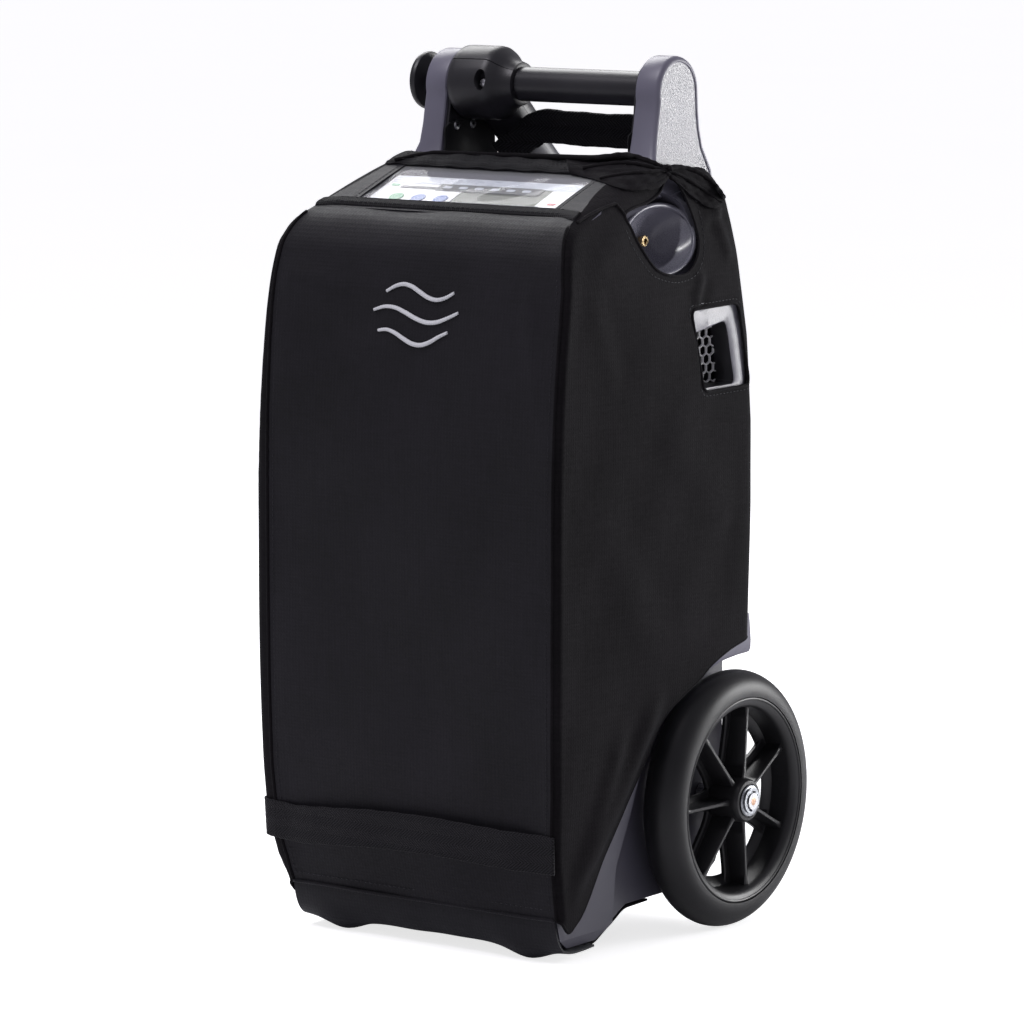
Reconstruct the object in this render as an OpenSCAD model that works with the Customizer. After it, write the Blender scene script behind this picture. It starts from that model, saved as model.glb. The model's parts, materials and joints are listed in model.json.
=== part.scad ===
// Wheeled oxygen concentrator: soft-covered plastic case on two wheels, with a fixed
// carry handle on top, a folding telescopic pull mast behind, and its works inside.
// Units mm. Origin: centre of the footprint on the floor. +Z up, front faces -Y.

/* [Case] */
// wall thickness of the plastic case
wall = 2.6; // [2.2:0.1:3]
// thickness of the fabric cover skin
cover_t = 2.7; // [2:0.1:2.7]
// height of the split between top case and the housings
top_split_z = 384; // [380:1:384]

/* [Wheels] */
// number of spokes in each wheel
spokes = 7; // [5:1:9]
// width of each spoke web
spoke_w = 7; // [5:0.5:9]
// radius of the wheel hub boss
boss_r = 14; // [12:0.5:16]

/* [Handle] */
// radius of the fixed carry bar
bar_r = 10.15; // [9.5:0.05:11]
// radius of the release knob
knob_r = 17.3; // [14:0.1:19]
// half length of the pull grip
grip_half = 37; // [25:1:38]

/* [Vent] */
// corner radius of each hexagonal vent cell
cell_r = 2.6; // [2:0.1:2.8]

/* [Hidden] */
wheel_y = 49.5;
wheel_z = 76.2;
wheel_x = 108.4;
tube_r = 13.4;
hub_y = 27.5;
hub_z = 493.3;
mast_x = -50;
mast_a = 42;
mast_y = 86.95;
elbow_z = 439.77;
bowl_n = [0.766, -0.341, 0.545];
bowl_p = [88, 2.5, 407.7];
bowl_c = bowl_p + 8.4 * bowl_n;
deck_a = 21.13;

side_p = [[-88,8],[-60,8],[-50,14],[-30,24],[10,24],[52,26],[64,34],[70,48],[70.5,170],[69.5,250],
  [67,330],[64,380],[61,424],[55.5,440],[46,449],[-1.5,449],[-26.5,443.5],[-86,420.5],[-98,413],
  [-105,402],[-110,380],[-114.5,340],[-117.2,290],[-116.8,180],[-114.8,76],[-103.8,28],[-98,14]];
plan_h = [[93,-118.5],[97,-114],[99,-107],[103,-70],[106.5,-30],[108.5,10],[108.5,50],[105,64],[97,70.8]];
front_h = [[90,6],[93,14],[96,40],[101,80],[105,130],[107.5,190],[108.7,250],[108.7,300],[106,350],
  [101.5,400],[96.5,428],[90,440],[80,451]];

function flip(p) = [for (i = [len(p)-1:-1:0]) [-p[i][0], p[i][1]]];
plan_p = concat(plan_h, flip(plan_h));
front_p = concat(front_h, flip(front_h));
function grow(p, d) = let(n = len(p)) [for (i = [0:n-1])
  let(a = p[(i+n-1)%n], b = p[i], c = p[(i+1)%n],
      u = (b-a)/norm(b-a), v = (c-b)/norm(c-b),
      nu = [u[1],-u[0]], nv = [v[1],-v[0]], k = 1 + nu*nv)
  b + (nu+nv)*d/k];

module side_ext(p, x0, x1) { translate([x0,0,0]) rotate([90,0,90]) linear_extrude(x1-x0) polygon(p); }
module front_ext(p, y0, y1) { translate([0,y1,0]) rotate([90,0,0]) linear_extrude(y1-y0) polygon(p); }
module bx(x0,x1,y0,y1,z0,z1) { translate([x0,y0,z0]) cube([x1-x0,y1-y0,z1-z0]); }
module xcyl(r, x0, x1, y, z, f=64) { translate([x0,y,z]) rotate([0,90,0]) cylinder(r=r, h=x1-x0, $fn=f); }
module ycyl(r, y0, y1, x, z, f=48) { translate([x,y1,z]) rotate([90,0,0]) cylinder(r=r, h=y1-y0, $fn=f); }
module env(d) {
  intersection() {
    side_ext(grow(side_p, d), -125, 125);
    translate([0,0,-10]) linear_extrude(480) polygon(grow(plan_p, d));
    front_ext(grow(front_p, d), -135, 90);
  }
}
module deck() { translate([0,-56.25,432]) rotate([deck_a,0,0]) children(); }
module along_n() { translate(bowl_p) rotate([0,0,-24]) rotate([0,57,0]) children(); }
module both() { children(); mirror([1,0,0]) children(); }

// ---- case
module wells(r, x0) {
  both() hull() {
    xcyl(r, x0, 130, wheel_y, wheel_z, 96);
    bx(x0, 130, 41-r, 60, 0, 46);
    bx(x0, 130, 38-r, 60, 44, 50);
  }
}
module case_all() {
  difference() {
    union() {
      difference() { env(0); env(-wall); }
      intersection() { env(0); wells(88.6, 88.4); }
      intersection() { env(0); translate(bowl_c) sphere(r=26.4, $fn=64); }
    }
    wells(86, 91);
    translate(bowl_c) sphere(r=24, $fn=64);
    xcyl(5.4, -100, 100, wheel_y, wheel_z, 32);
    bx(-84.5,84.5,60,80,95,163);
    bx(95,115,9.8,60.2,321.8,366.2);
    deck() translate([-66,-20,-9]) cube([132,40,15]);
    ycyl(6.2, 60, 80, -50, 60, 32);
    xcyl(1.9, 60, 90, -3, 408, 24);
  }
}
module base_tray() { color([0.42,0.42,0.47]) intersection() { case_all(); bx(-130,130,-130,100,0,30); } }
module casing_front() { color([0.45,0.45,0.5]) intersection() { case_all(); bx(-130,130,-130,-12,30,top_split_z); } }
module casing_rear() {
  color([0.45,0.45,0.5]) {
    intersection() { case_all(); bx(-130,130,-12,100,30,top_split_z); }
    bx(-84.5,84.5,0,67.5,93,95);
    bx(-84.5,84.5,0,67.2,163,165);
    bx(-84.5,84.5,-2,0,93,165);
  }
}
module casing_top() { color([0.47,0.47,0.52]) intersection() { case_all(); bx(-130,130,-130,100,top_split_z,470); } }
module feet() { color([0.1,0.1,0.11]) both() { translate([67,-87.5,0]) cylinder(r=9, h=8, $fn=48); } }

// ---- control panel
module control_panel() {
  color([0.13,0.14,0.16]) deck() difference() {
    translate([-68,-22,0.02]) cube([136,44,1.4]);
    translate([-10.2,-8.2,-1]) cube([60.4,22.4,4]);
    for (x = [-50,-34,-18]) translate([x,-6,-1]) cylinder(r=4.9, h=4, $fn=32);
  }
}
module lcd() { color([0.55,0.6,0.55]) deck() translate([-10,-8,-3]) cube([60,22,4]); }
module panel_button(x) { deck() translate([x,-6,-0.8]) cylinder(r=4.5, h=2.7, $fn=32); }
module button_power() { color([0.2,0.5,0.3]) panel_button(-50); }
module button_up() { color([0.3,0.4,0.6]) panel_button(-34); }
module button_down() { color([0.3,0.4,0.6]) panel_button(-18); }
module display_pcb() {
  color([0.1,0.35,0.2]) deck() {
    translate([-62,-17,-8]) cube([124,34,1.6]);
    for (x = [-58,58], y = [-14,14]) translate([x,y,-6.4]) cylinder(r=2, h=6.4, $fn=24);
    translate([-4,-6,-6.4]) cube([48,18,3.4]);
    for (x = [-50,-34,-18]) translate([x-3,-9,-6.4]) cube([6,6,3.6]);
  }
}

// ---- soft cover
low_p = [[120,172],[73.8,170.8],[43.8,165],[16.7,152],[-14.6,133.5],[-29.2,110],[-44.8,89],[-64.6,60],
  [-83.4,33],[-92,28],[-140,28],[-140,500],[120,500]];
module skin() {
  intersection() {
    difference() { env(0.3+cover_t); env(0.3); }
    side_ext(grow(low_p, 0), -125, 125);
  }
}
module front_zone() { bx(-97,97,-140,-86.5,20,440); }
module cover_front() { color([0.18,0.19,0.22]) intersection() { skin(); front_zone(); } }
module cover_side_r() {
  difference() {
    intersection() { skin(); bx(88,130,-140,100,15,470); }
    front_zone();
    along_n() cylinder(r=26.5, h=60, center=true, $fn=64);
    bx(95,125,6,63,317,371);
  }
}
module cover_right() { color([0.18,0.19,0.22]) cover_side_r(); }
module cover_left() {
  color([0.18,0.19,0.22]) difference() {
    intersection() { skin(); bx(-130,-88,-140,100,15,470); }
    front_zone();
  }
}
module cover_top() {
  color([0.18,0.19,0.22]) difference() {
    intersection() { skin(); bx(-88,88,-86.5,49,400,470); }
    deck() translate([-70.5,-24.5,-5]) cube([141,49,20]);
    both() bx(65.5,90,-5,60,430,470);
    along_n() cylinder(r=26.5, h=60, center=true, $fn=64);
  }
}
module cover_rear() {
  color([0.18,0.19,0.22]) difference() {
    intersection() { skin(); bx(-88,88,49,100,15,470); }
    both() bx(65.5,90,40,70,430,470);
    bx(-90,90,50,100,15,171);
  }
}
module window() { color([0.8,0.85,0.9,0.4]) deck() translate([-70.3,-24.3,2.2]) cube([140.6,48.6,0.8]); }
module grab_strap() {
  color([0.1,0.1,0.11]) {
    bx(-99,99,-125.7,-124.3,55,80);
    both() bx(94,99,-124.3,-118.2,55,80);
  }
}
module carry_strap() {
  color([0.1,0.1,0.11]) translate([0,45.4,0]) rotate([90,0,0]) linear_extrude(1.6)
    polygon([[-34,477],[-34,452],[-22,452],[-14,458],[66,458],[66,477]]);
}

// ---- carry handle
arm_p = concat([[66,430],[57.6,459.3],[53.7,479.5]],
  [for (a = [0:12:192]) [31.5+21.4*cos(a), 491.5+21.4*sin(a)]],
  [[9.2,480],[4.8,458.2],[-2,445],[-4,430]]);
module arm() {
  difference() {
    intersection() {
      side_ext(arm_p, 60, 95);
      front_ext([[67,430],[88,430],[88,448],[84.2,462],[84.2,509],[82,513.5],[70,513.5],[68,510],[68,462]], -20, 80);
    }
    env(0);
  }
}
module arm_right() { color([0.5,0.5,0.55]) arm(); }
module arm_left() { color([0.5,0.5,0.55]) difference() { mirror([1,0,0]) arm(); xcyl(4.5, -95, -60, hub_y, hub_z, 32); } }
liner_p = concat([[55,462],[51.5,480]], [for (a = [0:15:180]) [31.5+18.5*cos(a), 491.5+18.5*sin(a)]],
  [[12,480],[8.5,462]]);
module liner_right() { color([0.08,0.08,0.09]) side_ext(liner_p, 66, 68); }
module liner_left() { color([0.08,0.08,0.09]) difference() { side_ext(liner_p, -68, -66); xcyl(4.5, -95, -60, hub_y, hub_z, 32); } }
module handle_screws() {
  color([0.6,0.6,0.62]) both() for (p = [[18,468],[34,468]]) difference() {
    xcyl(3, 64.8, 66, p[0], p[1], 24);
    xcyl(1.4, 64, 65.6, p[0], p[1], 6);
  }
}
module bar() { color([0.08,0.08,0.09]) difference() { xcyl(bar_r, -23.5, 66, hub_y, hub_z); xcyl(8, -24, 67, hub_y, hub_z); } }
module handle_axle() { color([0.7,0.7,0.72]) xcyl(6, -66, 66, hub_y, hub_z, 48); }
module release_knob() {
  color([0.1,0.1,0.11]) {
    translate([-91.6,hub_y,hub_z]) rotate([0,-90,0]) rotate_extrude($fn=64)
      polygon([[0,0],[knob_r-0.8,0],[knob_r,0.8],[knob_r,3],[knob_r-1.6,4.6],[0,4.6]]);
    xcyl(4, -91.6, -74, hub_y, hub_z, 32);
  }
}

// ---- folding pull mast
module at_hub() { translate([mast_x,hub_y,hub_z]) rotate([-mast_a,0,0]) children(); }
module hub_solid() {
  difference() {
    union() {
      translate([0,hub_y,hub_z]) rotate([0,90,0]) rotate_extrude($fn=72)
        polygon([[0,-65.5],[19,-65.5],[22,-62.5],[22,-38],[20,-34.5],[13.5,-26],[12.5,-24],[0,-24]]);
      at_hub() rotate([-90,0,0]) cylinder(r=14.2, h=44, $fn=64);
    }
    xcyl(6.05, -70, -20, hub_y, hub_z, 48);
    at_hub() translate([0,23,0]) rotate([-90,0,0]) cylinder(r=11.02, h=30, $fn=64);
  }
}
module hub_upper() { color([0.09,0.09,0.1]) intersection() { hub_solid(); at_hub() translate([-60,-60,0]) cube([120,160,60]); } }
module hub_lower() { color([0.1,0.1,0.11]) intersection() { hub_solid(); at_hub() translate([-60,-60,-60]) cube([120,160,59.95]); } }
module mast_outer() {
  color([0.4,0.4,0.44]) difference() {
    union() {
      at_hub() translate([0,23.2,0]) rotate([-90,0,0]) cylinder(r=11, h=56.8, $fn=64);
      translate([mast_x,mast_y,elbow_z]) sphere(r=11.4, $fn=64);
      translate([mast_x,mast_y,240]) cylinder(r=11, h=elbow_z-240, $fn=64);
    }
    translate([mast_x,mast_y,239]) cylinder(r=9.6, h=193, $fn=64);
  }
}
module mast_mid() {
  color([0.6,0.6,0.64]) difference() {
    union() {
      translate([mast_x,mast_y,232]) cylinder(r=9.2, h=196, $fn=64);
      translate([mast_x,mast_y,230]) cylinder(r=11, h=9, $fn=64);
    }
    translate([mast_x,mast_y,229]) cylinder(r=7.9, h=196, $fn=64);
  }
}
module mast_inner() { color([0.7,0.7,0.74]) translate([mast_x,mast_y,226]) cylinder(r=7.5, h=195, $fn=48); }
module grip() {
  color([0.08,0.08,0.09]) difference() {
    union() {
      translate([mast_x,mast_y,212]) rotate([0,90,0]) rotate_extrude($fn=64)
        polygon([[0,-grip_half],[8,-grip_half],[11,-grip_half+3],[11,grip_half-3],[8,grip_half],[0,grip_half]]);
      translate([mast_x,mast_y,212]) cylinder(r=9.4, h=14, $fn=48);
    }
    translate([mast_x,mast_y,195]) cylinder(r=5.4, h=11.5, $fn=32);
  }
}
module grip_button() { color([0.5,0.5,0.55]) translate([mast_x,mast_y,198.5]) cylinder(r=5, h=5.5, $fn=32); }

// ---- wheels
module on_wheel() { translate([wheel_x,wheel_y,wheel_z]) rotate([0,90,0]) children(); }
module tyre() {
  on_wheel() rotate_extrude($fn=96) difference() {
    translate([62.8,0]) circle(r=tube_r, $fn=48);
    translate([0,-10.7]) square([62.3,21.4]);
    translate([0,-20]) square([56,40]);
  }
}
module rim() {
  on_wheel() difference() {
    union() {
      rotate_extrude($fn=96) polygon([[57.4,-10.6],[62.2,-10.6],[62.2,10.6],[57.4,10.6],[55.5,4],[55.5,-4]]);
      rotate_extrude($fn=72) polygon([[0,-9],[boss_r,-9],[boss_r,10],[boss_r-2,16],[0,16]]);
      for (i = [0:spokes-1]) rotate([0,0,167+i*360/spokes]) {
        translate([boss_r-3,-spoke_w/2,-3]) cube([62.3-boss_r,spoke_w,4]);
        translate([boss_r-3,-1.1,-5.2]) cube([61.5-boss_r,2.2,11.3]);
      }
    }
    translate([0,0,-20]) cylinder(r=5.05, h=50, $fn=48);
  }
}
module tyre_right() { color([0.07,0.07,0.08]) tyre(); }
module tyre_left() { color([0.07,0.07,0.08]) mirror([1,0,0]) tyre(); }
module rim_right() { color([0.5,0.5,0.55]) rim(); }
module rim_left() { color([0.5,0.5,0.55]) mirror([1,0,0]) rim(); }
module axle() {
  color([0.7,0.7,0.72]) {
    xcyl(5, -127.6, 127.6, wheel_y, wheel_z, 48);
    both() xcyl(8, 91.6, 98.6, wheel_y, wheel_z, 48);
  }
}
module axle_washers() {
  color([0.75,0.75,0.76]) both() difference() {
    xcyl(9, 124.7, 125.7, wheel_y, wheel_z, 48);
    xcyl(5.1, 124, 127, wheel_y, wheel_z, 48);
  }
}
module axle_clips() {
  color([0.65,0.65,0.66]) both() difference() {
    xcyl(8, 126, 126.9, wheel_y, wheel_z, 48);
    xcyl(5.1, 125, 128, wheel_y, wheel_z, 48);
    bx(125,128,wheel_y-2.5,wheel_y+2.5,wheel_z-12,wheel_z);
  }
}

// ---- vent, outlet, inlet
module vent_frame() {
  color([0.6,0.6,0.64]) intersection() {
    difference() {
      bx(94,112,10,60,322,366);
      bx(90,115,15,55,327,361);
    }
    env(0.9);
  }
}
module vent_mesh() {
  color([0.75,0.75,0.78]) difference() {
    bx(97,98.4,15.2,54.8,327.2,360.8);
    for (i = [0:6], j = [0:5]) translate([90,18.2+i*5.4+(j%2)*2.7,330.6+j*5.4]) rotate([0,90,0]) cylinder(r=cell_r, h=15, $fn=6);
  }
}
module outlet_barb() {
  color([0.75,0.6,0.25]) difference() {
    union() {
      xcyl(1.8, 66, 75, -3, 408, 24);
      xcyl(3.4, 72.8, 74.6, -3, 408, 6);
      xcyl(2.4, 74.6, 82, -3, 408, 32);
      translate([82,-3,408]) rotate([0,90,0]) cylinder(r1=2.4, r2=1.7, h=3, $fn=32);
    }
    xcyl(1.1, 64, 90, -3, 408, 24);
  }
}
module dc_inlet() {
  color([0.1,0.1,0.11]) difference() {
    union() { ycyl(6, 57, 70, -50, 60, 32); ycyl(8, 58, 67.2, -50, 60, 32); }
    ycyl(3.2, 60, 71, -50, 60, 32);
  }
}

// ---- batteries
module battery() {
  difference() {
    union() { bx(6,82,2,70,96.5,161); bx(14,74,70,73,104,154); }
    bx(34,54,70.5,75,112,126);
  }
}
module battery_right() { color([0.12,0.12,0.13]) battery(); }
module battery_left() { color([0.12,0.12,0.13]) mirror([1,0,0]) battery(); }

// ---- works inside
module fan_frame() {
  color([0.12,0.12,0.13]) {
    difference() { bx(78,92,15,55,323,363); xcyl(18.6, 77, 93, 35, 343, 64); }
    bx(78,79.4,16,54,341.6,344.4);
    xcyl(7, 78, 79.4, 35, 343, 32);
  }
}
module fan_rotor() {
  color([0.2,0.2,0.22]) {
    xcyl(7, 80, 90, 35, 343, 48);
    for (i = [0:6]) translate([85,35,343]) rotate([i*360/7,0,0]) rotate([0,0,0]) translate([0,0,6]) rotate([0,0,32]) translate([-4.5,-0.6,0]) cube([9,1.2,11.4]);
  }
}
module crankcase() {
  color([0.6,0.6,0.62]) {
    xcyl(28, -38, 34, -52, 78);
    bx(-42,78,-88,-16,42,46);
    bx(-30,26,-70,-34,44,60);
  }
}
module compressor_motor() { color([0.3,0.3,0.33]) { xcyl(24, 34.2, 76, -52, 78); xcyl(8, 76, 80, -52, 78, 32); } }
module compressor_heads() {
  color([0.7,0.7,0.72]) for (x = [-20,14]) {
    difference() { bx(x-14,x+14,-68,-36,98,136); xcyl(28.1, -60, 60, -52, 78); }
    bx(x-15.5,x+15.5,-70,-34,136,142);
    translate([x,-52,142]) cylinder(r=5, h=7, $fn=32);
  }
}
module vibration_mounts() { color([0.1,0.1,0.1]) for (x = [-34,70], y = [-82,-22]) { translate([x,y,26.7]) cylinder(r=6, h=15.3, $fn=32); } }
module sieve_beds() {
  color([0.75,0.76,0.78]) both() {
    translate([45,-80,216]) cylinder(r=19, h=160, $fn=64);
    translate([45,-80,212.2]) cylinder(r=21, h=8, $fn=64);
    translate([45,-80,370]) cylinder(r=21, h=8, $fn=64);
  }
}
module product_tank() { color([0.7,0.7,0.73]) { translate([0,-80,212.2]) cylinder(r=18, h=168, $fn=64); } }
module valve_manifold() {
  color([0.25,0.25,0.28]) {
    bx(-66,66,-100,-58,190,212);
    for (x = [-48,-16,16,48]) translate([x,-79,172]) cylinder(r=9, h=18, $fn=32);
    for (x = [-60,60]) bx(x-3,x+3,-100,-98,30.5,190);
  }
}
module main_pcb() {
  color([0.1,0.35,0.2]) {
    bx(-80,80,-30,-28.4,170,370);
    for (x = [-60,-30,0,30,60], z = [200,260,320]) bx(x-8,x+8,-28.4,-18,z,z+26);
    for (x = [-70,70], z = [180,360]) ycyl(3, -58, -30, x, z, 24);
  }
}
module muffler() { color([0.15,0.15,0.16]) { translate([-60,20,230]) cylinder(r=20, h=110, $fn=48); translate([-60,20,165]) cylinder(r=6, h=66, $fn=32); } }

base_tray();
feet();
casing_front();
casing_rear();
casing_top();
control_panel();
lcd();
button_power();
button_up();
button_down();
display_pcb();
cover_front();
cover_right();
cover_left();
cover_top();
cover_rear();
window();
grab_strap();
carry_strap();
arm_left();
arm_right();
liner_left();
liner_right();
handle_screws();
bar();
handle_axle();
hub_upper();
hub_lower();
mast_outer();
mast_mid();
mast_inner();
grip();
grip_button();
release_knob();
axle();
tyre_left();
rim_left();
tyre_right();
rim_right();
axle_washers();
axle_clips();
vent_frame();
vent_mesh();
outlet_barb();
battery_left();
battery_right();
dc_inlet();
fan_frame();
fan_rotor();
crankcase();
compressor_motor();
compressor_heads();
vibration_mounts();
sieve_beds();
product_tank();
valve_manifold();
main_pcb();
muffler();
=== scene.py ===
import bpy, bmesh, math, json
import numpy as np
from mathutils import Vector, Matrix


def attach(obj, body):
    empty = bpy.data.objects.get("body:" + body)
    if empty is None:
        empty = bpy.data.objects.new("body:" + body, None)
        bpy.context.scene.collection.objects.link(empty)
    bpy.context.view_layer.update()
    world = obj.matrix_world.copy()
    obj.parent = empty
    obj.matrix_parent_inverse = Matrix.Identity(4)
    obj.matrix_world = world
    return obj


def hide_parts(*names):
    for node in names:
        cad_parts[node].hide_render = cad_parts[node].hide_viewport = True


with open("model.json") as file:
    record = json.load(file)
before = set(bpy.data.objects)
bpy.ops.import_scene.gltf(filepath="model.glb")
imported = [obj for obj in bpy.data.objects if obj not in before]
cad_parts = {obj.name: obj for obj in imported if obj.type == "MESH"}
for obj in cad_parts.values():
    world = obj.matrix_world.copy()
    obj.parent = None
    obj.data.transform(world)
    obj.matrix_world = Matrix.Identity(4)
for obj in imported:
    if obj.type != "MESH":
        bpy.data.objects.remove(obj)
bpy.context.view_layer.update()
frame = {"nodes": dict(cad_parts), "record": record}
nodes = frame["nodes"]
scene = bpy.context.scene
MM = 0.001

# ------------------------------------------------------------------ camera
cam_data = bpy.data.cameras.new("camera")
cam = bpy.data.objects.new("camera", cam_data)
scene.collection.objects.link(cam)
az, el = math.radians(36.03690532), math.radians(7.97304859)
fwd = Vector((-math.sin(az) * math.cos(el), math.cos(az) * math.cos(el), -math.sin(el)))
right = Vector((math.cos(az), math.sin(az), 0))
up = right.cross(fwd)
rot = Matrix((right, up, -fwd)).transposed()
cam.matrix_world = Matrix.Translation((1.78062874, -2.46420094, 0.66892363)) @ rot.to_4x4()
cam_data.sensor_width = 36
cam_data.lens = 5200 / 1024 * 36
cam_data.clip_end = 50
scene.camera = cam

# ------------------------------------------------------------------ materials
def new_mat(name):
    m = bpy.data.materials.new(name)
    m.use_nodes = True
    nt = m.node_tree
    b = nt.nodes["Principled BSDF"]
    return m, nt, b

def N(nt, kind, **kw):
    n = nt.nodes.new(kind)
    for k, v in kw.items():
        setattr(n, k, v)
    return n

def coords(nt, scale=(1, 1, 1), rot=(0, 0, 0)):
    tc = N(nt, "ShaderNodeTexCoord")
    mp = N(nt, "ShaderNodeMapping")
    mp.inputs["Scale"].default_value = scale
    mp.inputs["Rotation"].default_value = rot
    nt.links.new(tc.outputs["Object"], mp.inputs["Vector"])
    return mp.outputs["Vector"]

def noise(nt, vec, scale, detail=3, rough=0.5):
    n = N(nt, "ShaderNodeTexNoise")
    n.inputs["Scale"].default_value = scale
    n.inputs["Detail"].default_value = detail
    n.inputs["Roughness"].default_value = rough
    nt.links.new(vec, n.inputs["Vector"])
    return n.outputs["Fac"]

def ramp(nt, fac, c0, c1, p0=0.3, p1=0.7):
    r = N(nt, "ShaderNodeValToRGB")
    r.color_ramp.elements[0].position = p0
    r.color_ramp.elements[1].position = p1
    r.color_ramp.elements[0].color = (*c0, 1)
    r.color_ramp.elements[1].color = (*c1, 1)
    nt.links.new(fac, r.inputs["Fac"])
    return r.outputs["Color"]

def math_node(nt, op, a, b):
    m = N(nt, "ShaderNodeMath", operation=op)
    for i, v in enumerate((a, b)):
        if isinstance(v, (int, float)):
            m.inputs[i].default_value = v
        else:
            nt.links.new(v, m.inputs[i])
    return m.outputs[0]

def bump(nt, b, height, strength, dist, base=None):
    bp = N(nt, "ShaderNodeBump")
    bp.inputs["Strength"].default_value = strength
    bp.inputs["Distance"].default_value = dist
    nt.links.new(height, bp.inputs["Height"])
    if base is not None:
        nt.links.new(base, bp.inputs["Normal"])
    nt.links.new(bp.outputs["Normal"], b.inputs["Normal"])
    return bp.outputs["Normal"]

def wave(nt, vec, axis, scale, dist=0.0):
    w = N(nt, "ShaderNodeTexWave", wave_type="BANDS", bands_direction=axis, wave_profile="SIN")
    w.inputs["Scale"].default_value = scale
    w.inputs["Distortion"].default_value = dist
    w.inputs["Detail"].default_value = 1
    nt.links.new(vec, w.inputs["Vector"])
    return w.outputs["Fac"]

def fabric_mat(name, base, hi, front=True, rough=0.78, sheen=0.35, thread=0.0011, spec=0.22):
    m, nt, b = new_mat(name)
    v = coords(nt)
    s = 1.0 / thread * 0.16
    h = wave(nt, v, "Z", s, 0.3)
    w = wave(nt, v, "X" if front else "Y", s, 0.3)
    weave = math_node(nt, "MAXIMUM", h, w)
    fine = noise(nt, v, 900, 2)
    slub = noise(nt, coords(nt, (60, 60, 900)), 1.0, 3, 0.6)
    slub2 = noise(nt, coords(nt, (700, 700, 40)), 1.0, 3, 0.6)
    big = noise(nt, v, 14, 4)
    mix = math_node(nt, "MULTIPLY", math_node(nt, "ADD", slub, slub2), 0.5)
    tone = math_node(nt, "ADD", math_node(nt, "MULTIPLY", mix, 0.55), math_node(nt, "MULTIPLY", big, 0.45))
    col = ramp(nt, tone, base, hi, 0.36, 0.66)
    nt.links.new(col, b.inputs["Base Color"])
    rg = ramp(nt, fine, (rough - 0.08,) * 3, (rough + 0.08,) * 3)
    nt.links.new(rg, b.inputs["Roughness"])
    b.inputs["Sheen Weight"].default_value = sheen
    b.inputs["Sheen Roughness"].default_value = 0.45
    b.inputs["Sheen Tint"].default_value = (0.75, 0.78, 0.85, 1)
    b.inputs["Specular IOR Level"].default_value = spec
    h1 = math_node(nt, "ADD", weave, math_node(nt, "MULTIPLY", fine, 0.8))
    n1 = bump(nt, b, h1, 0.32, 0.00018)
    soft = noise(nt, coords(nt), 55, 4, 0.55)
    bump(nt, b, soft, 0.22, 0.0010, n1)
    return m

def webbing_mat(name, axis_len="X", axis_w="Z", base=(0.002, 0.002, 0.0022), hi=(0.019, 0.018, 0.022), pitch=0.0021):
    # herringbone: diagonal ribs whose slant flips between columns along the width
    m, nt, b = new_mat(name)
    tc = N(nt, "ShaderNodeTexCoord")
    sp = N(nt, "ShaderNodeSeparateXYZ")
    nt.links.new(tc.outputs["Object"], sp.inputs[0])
    L, W = sp.outputs[axis_len], sp.outputs[axis_w]
    pp = N(nt, "ShaderNodeMath", operation="PINGPONG")
    nt.links.new(W, pp.inputs[0]); pp.inputs[1].default_value = 0.0052
    s = math_node(nt, "ADD", math_node(nt, "MULTIPLY", L, 1.0), math_node(nt, "MULTIPLY", pp.outputs[0], 1.2))
    rib = math_node(nt, "SINE", math_node(nt, "MULTIPLY", s, 2 * math.pi / pitch), 0)
    rib = math_node(nt, "MULTIPLY", math_node(nt, "ADD", rib, 1.0), 0.5)
    warp = math_node(nt, "SINE", math_node(nt, "MULTIPLY", W, 2 * math.pi / 0.0011), 0)
    warp = math_node(nt, "MULTIPLY", math_node(nt, "ADD", warp, 1.0), 0.18)
    hgt = math_node(nt, "ADD", rib, warp)
    fz = noise(nt, tc.outputs["Object"], 1100, 2)
    col = ramp(nt, math_node(nt, "ADD", math_node(nt, "MULTIPLY", hgt, 0.6), math_node(nt, "MULTIPLY", fz, 0.4)), base, hi, 0.25, 0.85)
    nt.links.new(col, b.inputs["Base Color"])
    rgh = ramp(nt, fz, (0.62,) * 3, (0.85,) * 3)
    nt.links.new(rgh, b.inputs["Roughness"])
    b.inputs["Sheen Weight"].default_value = 0.05
    b.inputs["Sheen Roughness"].default_value = 0.4
    b.inputs["Specular IOR Level"].default_value = 0.22
    bump(nt, b, math_node(nt, "ADD", hgt, math_node(nt, "MULTIPLY", fz, 0.5)), 0.8, 0.0004)
    return m

def plastic_mat(name, c0, c1, rough=0.45, grain=1400, bstr=0.25, bdist=0.00012, spec=0.5, coat=0.0, big=18):
    m, nt, b = new_mat(name)
    v = coords(nt)
    bigf = noise(nt, v, big, 4)
    g = noise(nt, v, grain, 3, 0.6)
    nt.links.new(ramp(nt, bigf, c0, c1), b.inputs["Base Color"])
    nt.links.new(ramp(nt, math_node(nt, "ADD", math_node(nt, "MULTIPLY", g, 0.5), math_node(nt, "MULTIPLY", bigf, 0.5)),
                      (rough - 0.07,) * 3, (rough + 0.08,) * 3), b.inputs["Roughness"])
    b.inputs["Specular IOR Level"].default_value = spec
    b.inputs["Coat Weight"].default_value = coat
    bump(nt, b, g, bstr, bdist)
    return m

def metal_mat(name, c0, c1, rough=0.28, stretch=(40, 40, 40), bstr=0.15):
    m, nt, b = new_mat(name)
    v = coords(nt, stretch)
    g = noise(nt, v, 20, 4, 0.6)
    nt.links.new(ramp(nt, g, c0, c1), b.inputs["Base Color"])
    nt.links.new(ramp(nt, g, (rough - 0.08,) * 3, (rough + 0.1,) * 3), b.inputs["Roughness"])
    b.inputs["Metallic"].default_value = 1.0
    bump(nt, b, g, bstr, 0.0001)
    return m

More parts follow.
